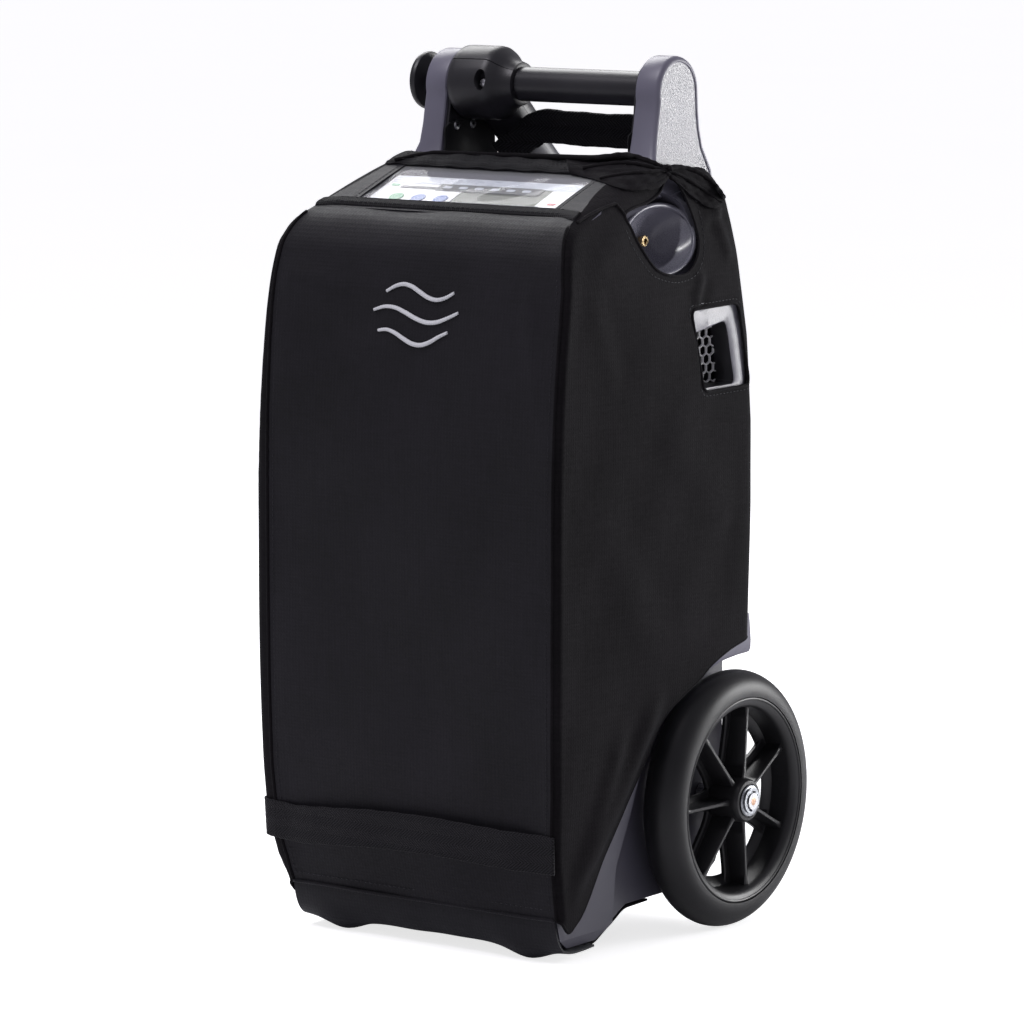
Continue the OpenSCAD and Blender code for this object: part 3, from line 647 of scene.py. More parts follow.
def stitches(name, pts, length=2.2, gap=1.3, r=0.22, mat="thread"):
    P = np.array(pts, float)
    L = np.r_[0, np.cumsum(np.linalg.norm(np.diff(P, axis=0), axis=1))]
    obs, t = [], 0.0
    V, F = [], []
    while t + length < L[-1]:
        q = [np.array([np.interp(t + length * k / 3, L, P[:, c]) for c in range(3)]) for k in range(4)]
        d = q[3] - q[0]; d /= np.linalg.norm(d) + 1e-9
        ref = np.array([0, 0, 1.0]) if abs(d[2]) < 0.8 else np.array([0, 1.0, 0])
        u = np.cross(d, ref); u /= np.linalg.norm(u); w = np.cross(d, u)
        o0 = len(V)
        for k, rr in zip(range(4), (0.45, 1, 1, 0.45)):
            for a in range(5):
                an = 2 * math.pi * a / 5
                V.append(q[k] + rr * r * (math.cos(an) * u + math.sin(an) * w))
        for k in range(3):
            for a in range(5):
                F.append((o0 + k * 5 + a, o0 + k * 5 + (a + 1) % 5, o0 + (k + 1) * 5 + (a + 1) % 5, o0 + (k + 1) * 5 + a))
        F.append(tuple(o0 + a for a in range(5))[::-1]); F.append(tuple(o0 + 15 + a for a in range(5)))
        t += length + gap
    return obj_from(name, V, F, M[mat], "case")
st = []
vc = vl.mean(0)
st.append(stitches("s", surf_side(vc + (vl - vc) * 1.10, 1, 0.12)))
S = np.linspace(6, s_of(-109, 402), 160)
for side in (1, -1):
    p = prof_at(S); x = Xs(S, side)
    st.append(stitches("s", np.stack([side * (x - 4.5), p[:, 0] - 0.15, p[:, 1]], 1), r=0.18))
hemx = np.linspace(-92, 92, 120)
st.append(stitches("s", np.stack([hemx, np.full(120, -108.4), np.full(120, 34.0)], 1)))

# binding tape round the window: front band and rear elastic band
def band(name, x0, x1, sa, sb, lift, nx=120, ns=9, mat="trim", wav=0.0, droop=True):
    U = np.linspace(x0, x1, nx); Tt = np.linspace(0, 1, ns)
    P = np.zeros((ns, nx, 3))
    for i, t in enumerate(Tt):
        s = sa + (sb - sa) * t + wav * np.sin(U / 4.1) * 0.35
        if droop:
            s = s - 4.0 * np.clip((np.abs(U) - 72) / 24.0, 0, 1) ** 2
        h = lift * (1 - (2 * t - 1) ** 4 * 0.75) + wav * np.sin(U / 3.3 + 2 * t) * 0.5
        Q = strip_pt(0, s, 0); Q2 = strip_pt(0, s, 1.0)
        n = Q2 - Q
        xr = np.minimum(U, Xs(s, 1) + 0.3); xr = np.maximum(xr, -Xs(s, -1) - 0.3)
        P[i, :, 0] = xr
        P[i, :, 1] = Q[:, 1] + n[:, 1] * h
        P[i, :, 2] = Q[:, 2] + n[:, 2] * h
    return grid_solid(name, P, 1.2, M[mat], out_sign=-1.0)
bf = band("window_front_binding", -92, 92, s_win0 - 9.5, s_win0 + 0.8, 1.7)
br = band("window_rear_elastic", -88, 80, s_win1 - 1.0, s_top + 1.5, 2.6, nx=220, wav=0.7)
for o in (bf, br):
    a = area_of(o)
    o if 0.3 * 0.18 * 0.016 < a < 0.18 * 0.016 * 1.3 else o
for ds in (1.8, 7.5):
    xs_ = np.linspace(-80, 80, 140)
    Q = strip_pt(0, np.full(140, s_win0 - 9.5 + ds), 1.75); Q[:, 0] = xs_
    st.append(stitches("s", Q))
for ds in (3, 7.5, 12, 16.5):
    xs_ = np.linspace(-80, 74, 140)
    Q = strip_pt(0, np.full(140, s_win1 - 1.0 + ds), 2.75); Q[:, 0] = xs_
    st.append(stitches("s", Q, 1.8, 1.2))
for sx in (-1, 1):
    ss = np.linspace(s_win0 + 2, s_win1 - 2, 40)
    Q = strip_pt(0, ss, 0.15); Q[:, 0] = sx * 73.0
    st.append(stitches("s", Q))
stitch = join("stitching", st)

# clear window, gently rippled
nx, ns = 80, 40
S = np.linspace(s_win0 - 3, s_win1 + 3, ns); P = np.zeros((ns, nx, 3))
for i, s in enumerate(S):
    x = np.linspace(-72, 72, nx)
    h = 0.35 * np.sin(x / 17.0 + i / 7.0) * np.sin(i / ns * math.pi) + 0.25 * np.sin(x / 7.0 - i / 4.0) * np.sin(i / ns * math.pi) - 0.9
    Q = strip_pt(0, np.full(nx, s), 0); n = strip_pt(0, np.full(nx, s), 1.0) - Q
    P[i, :, 0] = x; P[i, :, 1] = Q[:, 1] + n[:, 1] * h; P[i, :, 2] = Q[:, 2] + n[:, 2] * h
win = grid_solid("window_sheet", P, 0.4, M["vinyl"], out_sign=-1.0)
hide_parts("window")
a = area_of(win)

# overlay of the control panel
da = math.radians(21.13)
def deck_pt(x, v, h):
    return (x, -56.25 + v * math.cos(da) - h * math.sin(da), 432.0 + v * math.sin(da) + h * math.cos(da))
def plate(name, x0, x1, v0, v1, h0, h1, mat, rc=1.5):
    loop = []
    for cx, cy, a0 in ((x1 - rc, v1 - rc, 0), (x0 + rc, v1 - rc, 90), (x0 + rc, v0 + rc, 180), (x1 - rc, v0 + rc, 270)):
        for k in range(6):
            an = math.radians(a0 + 18 * k)
            loop.append((cx + rc * math.cos(an), cy + rc * math.sin(an)))
    n = len(loop)
    V = [deck_pt(x, v_, h0) for x, v_ in loop] + [deck_pt(x, v_, h1 - 0.15) for x, v_ in loop]
    cx, cy = (x0 + x1) / 2, (v0 + v1) / 2
    ins = [(cx + (x - cx) * (1 - 0.3 / (x1 - x0)), cy + (v_ - cy) * (1 - 0.3 / (v1 - v0))) for x, v_ in loop]
    V += [deck_pt(x, v_, h1) for x, v_ in ins]
    F = [tuple(range(n))[::-1], tuple(range(2 * n, 3 * n))]
    for r in range(2):
        F += [(r * n + i, r * n + (i + 1) % n, (r + 1) * n + (i + 1) % n, (r + 1) * n + i) for i in range(n)]
    return obj_from(name, V, F, M[mat], "case", angle=30)
ov = [plate("o", -66, 66, 12.6, 21.6, 1.42, 1.62, "panel_blue", 1.0), plate("o", -30, 44, 4.8, 13.4, 1.42, 1.8, "header"), plate("o", -14, 54, -9.6, -8.6, 1.42, 1.75, "header", 0.4)]
for i in range(6):
    ov.append(plate("o", -26 + i * 11.3, -20 + i * 11.3, 7.6, 10.6, 1.8, 1.95, "panel_blue", 1.2))
ov.append(plate("o", -64, -58, 8, 11, 1.42, 1.7, "green", 1.0)); ov.append(plate("o", 57, 63, -16, -13, 1.42, 1.7, "blue", 1.0))
ov.append(plate("o", 57, 63, -6, -3.5, 1.42, 1.7, "red", 1.0)); ov.append(plate("o", -56, -14, 6, 9, 1.42, 1.7, "header", 1.0))
overlay = join("panel_overlay", ov)

# ------------------------------------------------------------------ under flap, wraps below the hem and round the feet
def under(name, path, hw, mat, bulge):
    FL = catmull(path, 8)
    nf = len(FL); nx = 110
    P = np.zeros((nf, nx, 3))
    for i in range(nf):
        x = np.linspace(-hw, hw, nx)
        y, z = FL[i]
        y = np.full(nx, y); z = np.full(nx, z)
        wv = 0.5 * np.sin(x / 11.0) + 0.35 * np.sin(x / 5.3 + 1)
        k = sm((33 - z) / 20)
        if bulge:
            for s_ in (-1, 1):
                z = z - 5.2 * np.exp(-(((x - s_ * 67) / 13.0) ** 2)) * np.exp(-(((y + 88) / 13.0) ** 2))
                y = y - 2.0 * np.exp(-(((x - s_ * 67) / 15.0) ** 2)) * np.exp(-(((z - 9) / 9.0) ** 2)) * (y < -90)
            z = z + 0.9 * (1 - np.exp(-((np.abs(x) - 67) / 24.0) ** 2)) * sm((20 - z) / 12)
        P[i, :, 0] = x; P[i, :, 1] = y + wv * k * 0.5 * (z > 8); P[i, :, 2] = np.maximum(z + wv * k * 0.35, 0.05)
    return grid_solid(name, P[:, ::-1, :], 1.2, M[mat], out_sign=-1.0)
flap = under("under_flap", [(-105.2, 33), (-105.5, 27), (-104.3, 20), (-101.2, 12), (-96, 6.6), (-88, 4.6), (-76, 4.4), (-66, 5.0)], 94.5, "flap", True)
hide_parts("feet")
a = area_of(flap)
skirt = under("under_cloth", [(-69, 5.4), (-60, 6.2), (-50, 11.0), (-40, 15.8), (-30, 20.6), (-18, 21.3), (-6, 21.6)], 90.2, "side", False)
a = area_of(skirt)
hem_tape = tube("front_hem", np.stack([np.linspace(-93.5, 96, 90), -107.3 + 0.3 * np.sin(np.linspace(0, 19, 90)), 28.2 + 0.25 * np.sin(np.linspace(0, 13, 90))], 1), 1.0, M["front"])

# moulded lip of the wheel arch, just under the cover's lower edge
for side in (1, -1):
    base = catmull([(72.6, 171), (60, 168.8), (43.8, 165), (28, 159), (16.7, 152), (0, 143.8), (-14.6, 133.5), (-27, 114)], 10)
    tg = np.gradient(base, axis=0); tg /= np.linalg.norm(tg, axis=1, keepdims=True)
    nrm_ = np.stack([-tg[:, 1], tg[:, 0]], 1)
    nrm_ = nrm_ * np.sign(((np.array([49.5, 76.2]) - base) * nrm_).sum(1))[:, None]
    wd_ = np.interp(base[:, 0], [-27, -14, 0, 17, 44, 72], [0.6, 2.2, 3.4, 4.3, 7.5, 11.5])
    rows = []
    for fr_, inx in ((-0.9, 3.2), (-0.3, 3.0), (0.3, 3.0), (0.72, 3.4), (0.93, 4.4), (1.0, 6.2), (1.0, 10.0), (0.98, 15.0)):
        q = base + nrm_ * (wd_ * fr_)[:, None] - (nrm_ * 3.0 if fr_ < 0 else 0)
        X_ = np.interp(q[:, 1], ZB, WB) - inx
        rows.append(np.stack([side * X_, q[:, 0], q[:, 1]], 1))
    grid_solid("arch_lip_" + ("right" if side > 0 else "left"), np.array(rows), 1.5, M["arm"], out_sign=-float(side))

# ------------------------------------------------------------------ webbing
def ribbon(name, path, wdir, width, thick, mat, rag=0.0):
    P = np.array(path, float); n = len(P)
    t = np.gradient(P, axis=0); t /= np.linalg.norm(t, axis=1, keepdims=True)
    wd = np.array(wdir, float)
    if wd.ndim == 1: wd = np.tile(wd, (n, 1))
    wd = wd - t * (wd * t).sum(1, keepdims=True); wd /= np.linalg.norm(wd, axis=1, keepdims=True)
    nn = np.cross(t, wd)
    sec = []
    hw, ht = width / 2, thick / 2
    for k in range(13): sec.append((-hw + 2 * hw * k / 12, ht * (1 - 0.12 * (k % 2))))
    sec += [(hw + ht * 0.8, 0)]
    for k in range(13): sec.append((hw - 2 * hw * k / 12, -ht))
    sec += [(-hw - ht * 0.8, 0)]
    m_ = len(sec); V, F = [], []
    for i in range(n):
        e = 1 + rag * math.sin(i * 1.7) * 0.5 + rag * math.sin(i * 0.63)
        for a_, b_ in sec:
            V.append(P[i] + wd[i] * a_ * (1 + (e - 1) * (abs(a_) > hw * 0.9)) + nn[i] * b_)
    for i in range(n - 1):
        for k in range(m_):
            l = (k + 1) % m_
            F.append((i * m_ + k, i * m_ + l, (i + 1) * m_ + l, (i + 1) * m_ + k))
    F.append(tuple(range(m_))[::-1]); F.append(tuple((n - 1) * m_ + k for k in range(m_)))
    o = obj_from(name, V, F, M[mat], "case")
    recalc(o)
    return o
gp = []
T_l = tree_of(left_p)
for t_ in np.linspace(0, 1, 120):
    x_ = -99.6 + 201.6 * t_
    z_ = np.interp(x_, [-100, -82.6, -28.6, 19.2, 53.4, 104], [66.2, 65.2, 69.6, 71.0, 69.4, 67.6])
    h = T_cov[0].ray_cast(Vector((min(max(x_, -96), 98) * MM, -0.2, z_ * MM)), Vector((0, 1, 0)))
    e_ = min(t_, 1 - t_)
    gp.append((x_, h[0].y * 1000 - 1.3 - 4.6 * sm(e_ / 0.16) - 0.3 * math.sin(x_ / 9.0), z_))
gp = [(-110.2, -111.2, 66.4), (-108.0, -113.8, 66.4), (-104.8, -116.0, 66.3)] + gp
gp = catmull(gp[:6], 4)[:-1].tolist() + gp[5:]
grab = ribbon("grab_webbing", np.array(gp, float), (0, -0.08, 1), 21.5, 1.7, "web", rag=0.012)
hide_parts("grab_strap")
a = area_of(grab)
cs = catmull([(-46, 36, 449), (-43, 38, 452), (-38, 41.5, 457), (-31, 44, 463), (-22, 45.6, 467.5), (0, 46, 467.0), (30, 45.5, 466.6), (54, 45.2, 467.4), (65.5, 45, 468)], 10)
wd = np.array([[0.35 * (1 - sm((c[0] + 46) / 22.0)) * -1.0, 0.25 * (1 - sm((c[0] + 46) / 25.0)), 1.0] for c in cs])
strap = ribbon("carry_webbing", cs, wd, 18.5, 2.2, "strap", rag=0.018)
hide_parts("carry_strap")
a = area_of(strap)

# ------------------------------------------------------------------ embroidered mark: three plain air waves
eo = []
def satin(pts, w):
    P = catmull(pts, 14); n = len(P)
    rr = w * (0.55 + 0.45 * np.sin(np.linspace(0.15, math.pi - 0.15, n)))
    rr = rr * (1 + 0.10 * np.sin(np.arange(n) * 2.1))
    Q = []
    for x, z in P:
        h = T_cov[0].ray_cast(Vector((x * MM, -0.2, z * MM)), Vector((0, 1, 0)))
        Q.append((x, h[0].y * 1000 - 0.55, z))
    return tube("e", Q, rr, M["embroid"], sides=8)
for k, (x0, x1, zz_) in enumerate(((-18, 30, 382), (-26, 34, 369), (-22, 27, 356))):
    pts = []
    for i in range(9):
        t = i / 8; x = x0 + (x1 - x0) * t
        pts.append((x, zz_ + 4.2 * math.sin(t * 2 * math.pi + k * 0.5) + 1.5 * t))
    eo.append(satin(pts, 1.35))
emb = join("emblem_embroidery", eo)

# ------------------------------------------------------------------ handle arms
def offset_loop(P, d):
    P = np.array(P, float); n = len(P)
    a = np.roll(P, 1, 0); c = np.roll(P, -1, 0)
    u = P - a; u /= np.linalg.norm(u, axis=1, keepdims=True) + 1e-9
    v_ = c - P; v_ /= np.linalg.norm(v_, axis=1, keepdims=True) + 1e-9
    nu = np.stack([u[:, 1], -u[:, 0]], 1); nv = np.stack([v_[:, 1], -v_[:, 0]], 1)
    k = 1 + (nu * nv).sum(1)
    return P + (nu + nv) * (d / np.maximum(k, 0.3))[:, None]
arm_out = ([(66, 430), (61.5, 446), (57.6, 459.3), (55.0, 470)] + [(53.7, 479.5)] +
           [(31.5 + 21.4 * math.cos(math.radians(a_)), 491.5 + 21.4 * math.sin(math.radians(a_))) for a_ in range(0, 193, 8)] +
           [(9.2, 480), (7.2, 469), (4.8, 458.2), (1.5, 450), (-2, 444), (-4, 432)])
def arm_mesh(name, s, node):
    L = arm_out
    def ring(d, xo, xi=None):
        P = offset_loop(L, -d) if d else np.array(L, float)
        out = []
        for y, z in P:
            fl = 3.8 * sm((462 - z) / 16.0)
            fi = -2.0 * sm((462 - z) / 16.0)
            x = xo + (fl if xo > 76 else fi)
            out.append((s * x, y, z))
        return out
    rings = [ring(2.2, 68.0), ring(0.9, 68.15), ring(0.25, 68.8), ring(0, 69.9), ring(0, 76.1), ring(0, 81.0), ring(0.3, 82.4), ring(0.9, 83.5), ring(1.9, 84.15), ring(3.0, 84.3),
             ring(3.3, 84.1), ring(3.6, 83.7), ring(4.0, 83.7)]
    n = len(L); V = [p for r in rings for p in r]
    F = [tuple(range(n)) if s > 0 else tuple(range(n))[::-1]]
    for r in range(len(rings) - 1):
        for i in range(n):
            q = (r * n + i, r * n + (i + 1) % n, (r + 1) * n + (i + 1) % n, (r + 1) * n + i)
            F.append(q)
    F.append(tuple((len(rings) - 1) * n + i for i in range(n)))
    o = obj_from(name, V, F, M["arm"])
    o.data.materials.append(M["arm_face"])
    o.data.polygons[len(o.data.polygons) - 1].material_index = 1
    recalc(o)
    for p in o.data.polygons:
        if len(p.vertices) > 10 and abs(p.center.x) > 0.08: p.material_index = 1
    o.data.set_sharp_from_angle(angle=math.radians(32))
    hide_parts(node)
    return o
arm_r = arm_mesh("handle_arm_right", 1, "arm_right")
arm_l = arm_mesh("handle_arm_left", -1, "arm_left")
for i in range(2):
    pass

def skirt_plate(name, s):
    L = [(y, z) for y, z in arm_out if z <= 471]
    L = [(62.6, 441), (56.6, 456), (53.6, 469.5), (10.2, 469.5), (6.4, 456), (1.4, 444)]
    P = catmull(L, 4, closed=False); P = [tuple(p) for p in P]
    n = len(P); V = []
    for x, k in ((66.4, 1.0), (65.9, 1.0), (65.6, 0.985)):
        c = np.mean(P, 0)
        for q in P:
            q = c + (np.array(q) - c) * k
            V.append((s * x, q[0], q[1]))
    F = [tuple(range(n)), tuple(range(2 * n, 3 * n))[::-1]]
    for r in range(2):
        F += [(r * n + i, r * n + (i + 1) % n, (r + 1) * n + (i + 1) % n, (r + 1) * n + i) for i in range(n)]
    o = obj_from(name, V, F, M["rubber"], "case"); recalc(o); o.data.set_sharp_from_angle(angle=math.radians(35)); return o
for s_ in (1, -1): skirt_plate("liner_skirt_" + ("right" if s_ > 0 else "left"), s_)

# hub shell with rounded shoulders, parting groove and screw recess
def hub_piece(name, half, node):
    prof_h = [(6.05, -65.5), (17.5, -65.5), (20.5, -64.8), (21.8, -63.0), (22.0, -60), (22.0, -41), (21.6, -38.6), (20.3, -36.4), (17.5, -33.6), (14.8, -30),
              (13.4, -26.5), (12.8, -24.4), (11.6, -23.9), (6.05, -23.9)]
    n = 60; V, F = [], []
    a0 = math.radians(-42) + 0.012; sgn = 1 if half > 0 else -1
    for i in range(n + 1):
        a = a0 + sgn * (0.0 + (math.pi - 0.024) * i / n) if half > 0 else a0 - 0.024 - (math.pi - 0.024) * i / n
        for r, h in prof_h:
            V.append((h, 27.5 + r * math.cos(a), 493.3 + r * math.sin(a)))
    k = len(prof_h)
    for i in range(n):
        for t in range(k):
            u = (t + 1) % k
            F.append((i * k + t, i * k + u, (i + 1) * k + u, (i + 1) * k + t))
    F.append(tuple(range(k))); F.append(tuple(n * k + t for t in range(k))[::-1])
    o = obj_from(name, V, F, M["hub"], "mast")
    recalc(o); o.data.set_sharp_from_angle(angle=math.radians(38))
    return o
hu = hub_piece("hub_shell_upper", 1, "hub_upper"); hl = hub_piece("hub_shell_lower", -1, "hub_lower")
# sleeve towards the mast
dm = np.array([0, math.cos(math.radians(42)), -math.sin(math.radians(42))]); zm = np.array([0, math.sin(math.radians(42)), math.cos(math.radians(42))])
hc = np.array([-50, 27.5, 493.3])
def sleeve(name, half):
    rs = [(14.6, 17), (14.4, 30), (14.2, 40), (13.8, 43.2), (13.0, 44), (11.05, 44), (11.05, 20)]
    V, F = [], []; n = 30
    for i in range(n + 1):
        a = 0.008 + (math.pi - 0.016) * i / n
        if half < 0: a = -a
        for r, h in rs:
            V.append(hc + dm * h + r * (math.cos(a) * np.array([1, 0, 0]) + math.sin(a) * zm))
    k = len(rs)
    for i in range(n):
        for t in range(k):
            F.append((i * k + t, i * k + (t + 1) % k, (i + 1) * k + (t + 1) % k, (i + 1) * k + t))
    F.append(tuple(range(k))); F.append(tuple(n * k + t for t in range(k)))
    o = obj_from(name, V, F, M["hub"], "mast"); recalc(o)
    o.data.set_sharp_from_angle(angle=math.radians(38)); return o
h2 = sleeve("sl_u", 1); h3 = sleeve("sl_l", -1)
hu = join("hub_shell_upper", [hu, h2]); hl = join("hub_shell_lower", [hl, h3])
# screw recess in the lower shell, facing front
def xloop(cx, n_dir, ra, rb, off):
    pass
sa = math.radians(180 - 8)
rec_c = np.array([-40.5, 27.5 + 21.2 * math.cos(sa), 493.3 + 21.2 * math.sin(sa)])
nd = np.array([0, math.cos(sa), math.sin(sa)]); td = np.array([0, -math.sin(sa), math.cos(sa)])
loop = []
for k in range(28):
    an = 2 * math.pi * k / 28
    loop.append(rec_c + np.array([3.6 * math.cos(an), 0, 0]) + td * 6.4 * math.sin(an))
cc = cutter("cc", loop, nd, -6, 6); cut(hl, [cc]); cut(hu, [cc]); drop([cc])
for o in (hu, hl):
    for p in o.data.polygons: p.use_smooth = True
    o.data.set_sharp_from_angle(angle=math.radians(38))
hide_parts("hub_upper"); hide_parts("hub_lower")
def screw_head(name, c, n_, r=2.6, body="case", mat="steel"):
    c = np.array(c, float); n_ = np.array(n_, float) / np.linalg.norm(n_)
    ref = np.array([0, 0, 1.0]) if abs(n_[2]) < 0.8 else np.array([1.0, 0, 0])
    u = np.cross(n_, ref); u /= np.linalg.norm(u); w = np.cross(n_, u)
    V, F = [], []
    rings = [(r, -0.8), (r, 0.3), (r * 0.85, 0.8), (r * 0.52, 1.0), (r * 0.48, 0.1)]
    k = 24
    for rr, h in rings:
        for i in range(k):
            an = 2 * math.pi * i / k
            q = rr * (1.0 if rr > r * 0.6 else (0.85 + 0.15 * math.cos(6 * an)))
            V.append(c + n_ * h + q * (math.cos(an) * u + math.sin(an) * w))
    for g in range(len(rings) - 1):
        for i in range(k):
            F.append((g * k + i, g * k + (i + 1) % k, (g + 1) * k + (i + 1) % k, (g + 1) * k + i))
    F.append(tuple(range(k))[::-1]); F.append(tuple((len(rings) - 1) * k + i for i in range(k)))
    o = obj_from(name, V, F, M[mat], body); recalc(o); o.data.set_sharp_from_angle(angle=math.radians(35)); return o
sc_h = screw_head("hub_screw", rec_c - nd * 4.4 + td * 1.5, nd, 2.6, "mast")
scs = [screw_head("sc", (s_ * 65.9, p_[0], p_[1]), (-s_, 0, 0), 2.8) for s_ in (1, -1) for p_ in ((18, 468), (34, 468))]
scr = join("liner_screws", scs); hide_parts("handle_screws")

# release knob
kn = lathe("release_knob_cap", [(0, 5.0), (9, 5.0), (9.6, 4.6), (10.0, 5.0), (14.6, 4.8), (16.6, 4.0), (17.3, 2.6), (17.3, 1.4), (16.8, 0.3), (15.5, 0), (4.4, 0), (4.0, -0.6), (4.0, -17.5), (0, -17.5)],
           (-91.6, 27.5, 493.3), M["black"], "knob", 72, flip=-1)
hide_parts("release_knob")

# ------------------------------------------------------------------ wheels
def wheel(side):
    bd = "wheel_right" if side > 0 else "wheel_left"
    cx = side * 108.4
    pr = []
    for k in range(0, 41):
        a_ = math.radians(-143 + 286 * k / 40)
        pr.append((62.8 + 13.4 * math.cos(a_), 13.4 * math.sin(a_)))
    pr += [(56.2, 10.2), (62.4, 10.75), (62.4, -10.75), (56.2, -10.2)]
    # tyre outline: tube, then the seat on the rim
    tp = []
    for k in range(0, 49):
        a_ = math.radians(-97 + 194 * k / 48)
        tp.append((62.8 + 13.4 * math.cos(a_), 13.4 * math.sin(a_)))
    tp += [(61.05, 12.7), (61.3, 10.65), (62.3, 10.6), (62.3, -10.6), (61.3, -10.65), (61.05, -12.7)]
    # fine tread line and moulding ring
    out = []
    for r, h in tp:
        if abs(abs(h) - 12.1) < 0.45 and r < 66: r -= 0.25
        out.append((r, h))
    ty = lathe("tyre_" + bd[6:], out, (cx, 49.5, 76.2), M["tyre"], bd, 128, flip=side, angle=50)
    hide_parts("tyre_right" if side > 0 else "tyre_left")
    rp = [(61.15, -10.5), (61.15, 10.6), (60.9, 12.2), (60.55, 13.0), (59.9, 13.25), (59.3, 13.0), (59.1, 12.55), (57.6, 12.05), (56.2, 11.2), (55.1, 9.8), (54.5, 7.5), (54.0, 2), (53.2, -3.0), (48.0, -5.2), (47.2, -6.4), (48.0, -7.4), (55.5, -8.6), (57.6, -10.5)]
    r1 = lathe("rimring", rp, (cx, 49.5, 76.2), M["rim"], bd, 128, flip=side, angle=40)
    hp = [(5.05, -9), (11, -9), (13.6, -7.8), (14.2, -5), (13.4, 4), (13.0, 12), (12.6, 14.6), (11.8, 15.8), (10.2, 16.0), (9.9, 15.2), (5.05, 15.2)]
    r2 = lathe("rimhub", hp, (cx, 49.5, 76.2), M["rim"], bd, 72, flip=side, angle=40)
    parts = [r1, r2]
    V, F = [], []
    for i in range(7):
        th = math.radians(77 + i * 360 / 7)
        er = np.array([0, math.cos(th), math.sin(th)]); et = np.array([0, -math.sin(th), math.cos(th)])
        # web: wider at both ends, behind; rib: thin edge in front
        for kind in (0, 1):
            o0 = len(V)
            st_ = []
            for k in range(13):
                t = k / 12; r = 11.5 + (54.5 - 11.5) * t
                if kind == 0:
                    w = 4.6 + 4.2 * (2 * t - 1) ** 4 + 1.2 * t
                    hh = [(-w, -6.2), (w, -6.2), (w, -4.2), (w - 0.8, -3.4), (-w + 0.8, -3.4), (-w, -4.2)]
                else:
                    w = 1.25 + 0.9 * (2 * t - 1) ** 6
                    top = 11.0 - 4.2 * t
                    hh = [(-w - 0.2, -4.0), (w + 0.2, -4.0), (w, top - 0.6), (w * 0.6, top), (-w * 0.6, top), (-w, top - 0.6)]
                for a_, h_ in hh:
                    p = np.array([cx + side * h_, 49.5, 76.2]) + er * r + et * a_
                    V.append(p)
            for k in range(12):
                for a_ in range(6):
                    F.append((o0 + k * 6 + a_, o0 + k * 6 + (a_ + 1) % 6, o0 + (k + 1) * 6 + (a_ + 1) % 6, o0 + (k + 1) * 6 + a_))
            F.append(tuple(o0 + a_ for a_ in range(6))[::-1]); F.append(tuple(o0 + 72 + a_ for a_ in range(6)))
    sp_ = obj_from("spokes", V, F, M["rim"], bd); recalc(sp_); sp_.data.set_sharp_from_angle(angle=math.radians(40))
    rim_o = join("rim_" + bd[6:], [r1, r2, sp_])
    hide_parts("rim_right" if side > 0 else "rim_left")
    # axle end, washer with a dished edge, split clip
    wz = lathe("w", [(5.1, 0), (9.2, 0), (9.4, 0.3), (9.0, 0.9), (7.4, 1.25), (5.1, 1.2)], (side * 124.6, 49.5, 76.2), M["zinc"], "case", 64, flip=side, angle=30)
    ce = lathe("axle_end_" + bd[6:], [(0, 0.5), (2.4, 0.45), (3.6, 0.15), (4.3, -0.5), (4.4, -1.6), (0, -1.6)], (side * 127.15, 49.5, 76.2), M["copper"], "case", 40, flip=side, angle=40)
    return ty, rim_o, wz
ws = [wheel(1), wheel(-1)]
wz = join("axle_washer_pair", [ws[0][2], ws[1][2]]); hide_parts("axle_washers")
def clip(side):
    # open ring with three inner teeth
    V, F = [], []
    n = 56
    for i in range(n + 1):
        a_ = math.radians(-60 + 300 * i / n)
        inner = 5.15 if (i % 14) in (0, 1, 13) else 6.1
        outer = 8.1 - 0.9 * (abs(i - n / 2) / (n / 2)) ** 2
        for r, h in ((inner, 0), (outer, 0), (outer, 0.95), (inner, 0.95)):
            V.append((side * (125.95 + h), 49.5 + r * math.cos(a_ + 0.6), 76.2 + r * math.sin(a_ + 0.6)))
    for i in range(n):
        for k in range(4):
            F.append((i * 4 + k, i * 4 + (k + 1) % 4, (i + 1) * 4 + (k + 1) % 4, (i + 1) * 4 + k))
    F.append((0, 1, 2, 3)); F.append(tuple(n * 4 + k for k in (3, 2, 1, 0)))
    o = obj_from("cl", V, F, M["zinc"], "case"); recalc(o); o.data.set_sharp_from_angle(angle=math.radians(30)); return o
cl = join("axle_clip_pair", [clip(1), clip(-1)]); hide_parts("axle_clips")
ax = lathe("axle_rod", [(0, -127.5), (4.2, -127.5), (4.9, -126.9), (4.95, -91.8), (8, -91.6), (8, -98.6)], (0, 49.5, 76.2), M["steel"]) if False else None

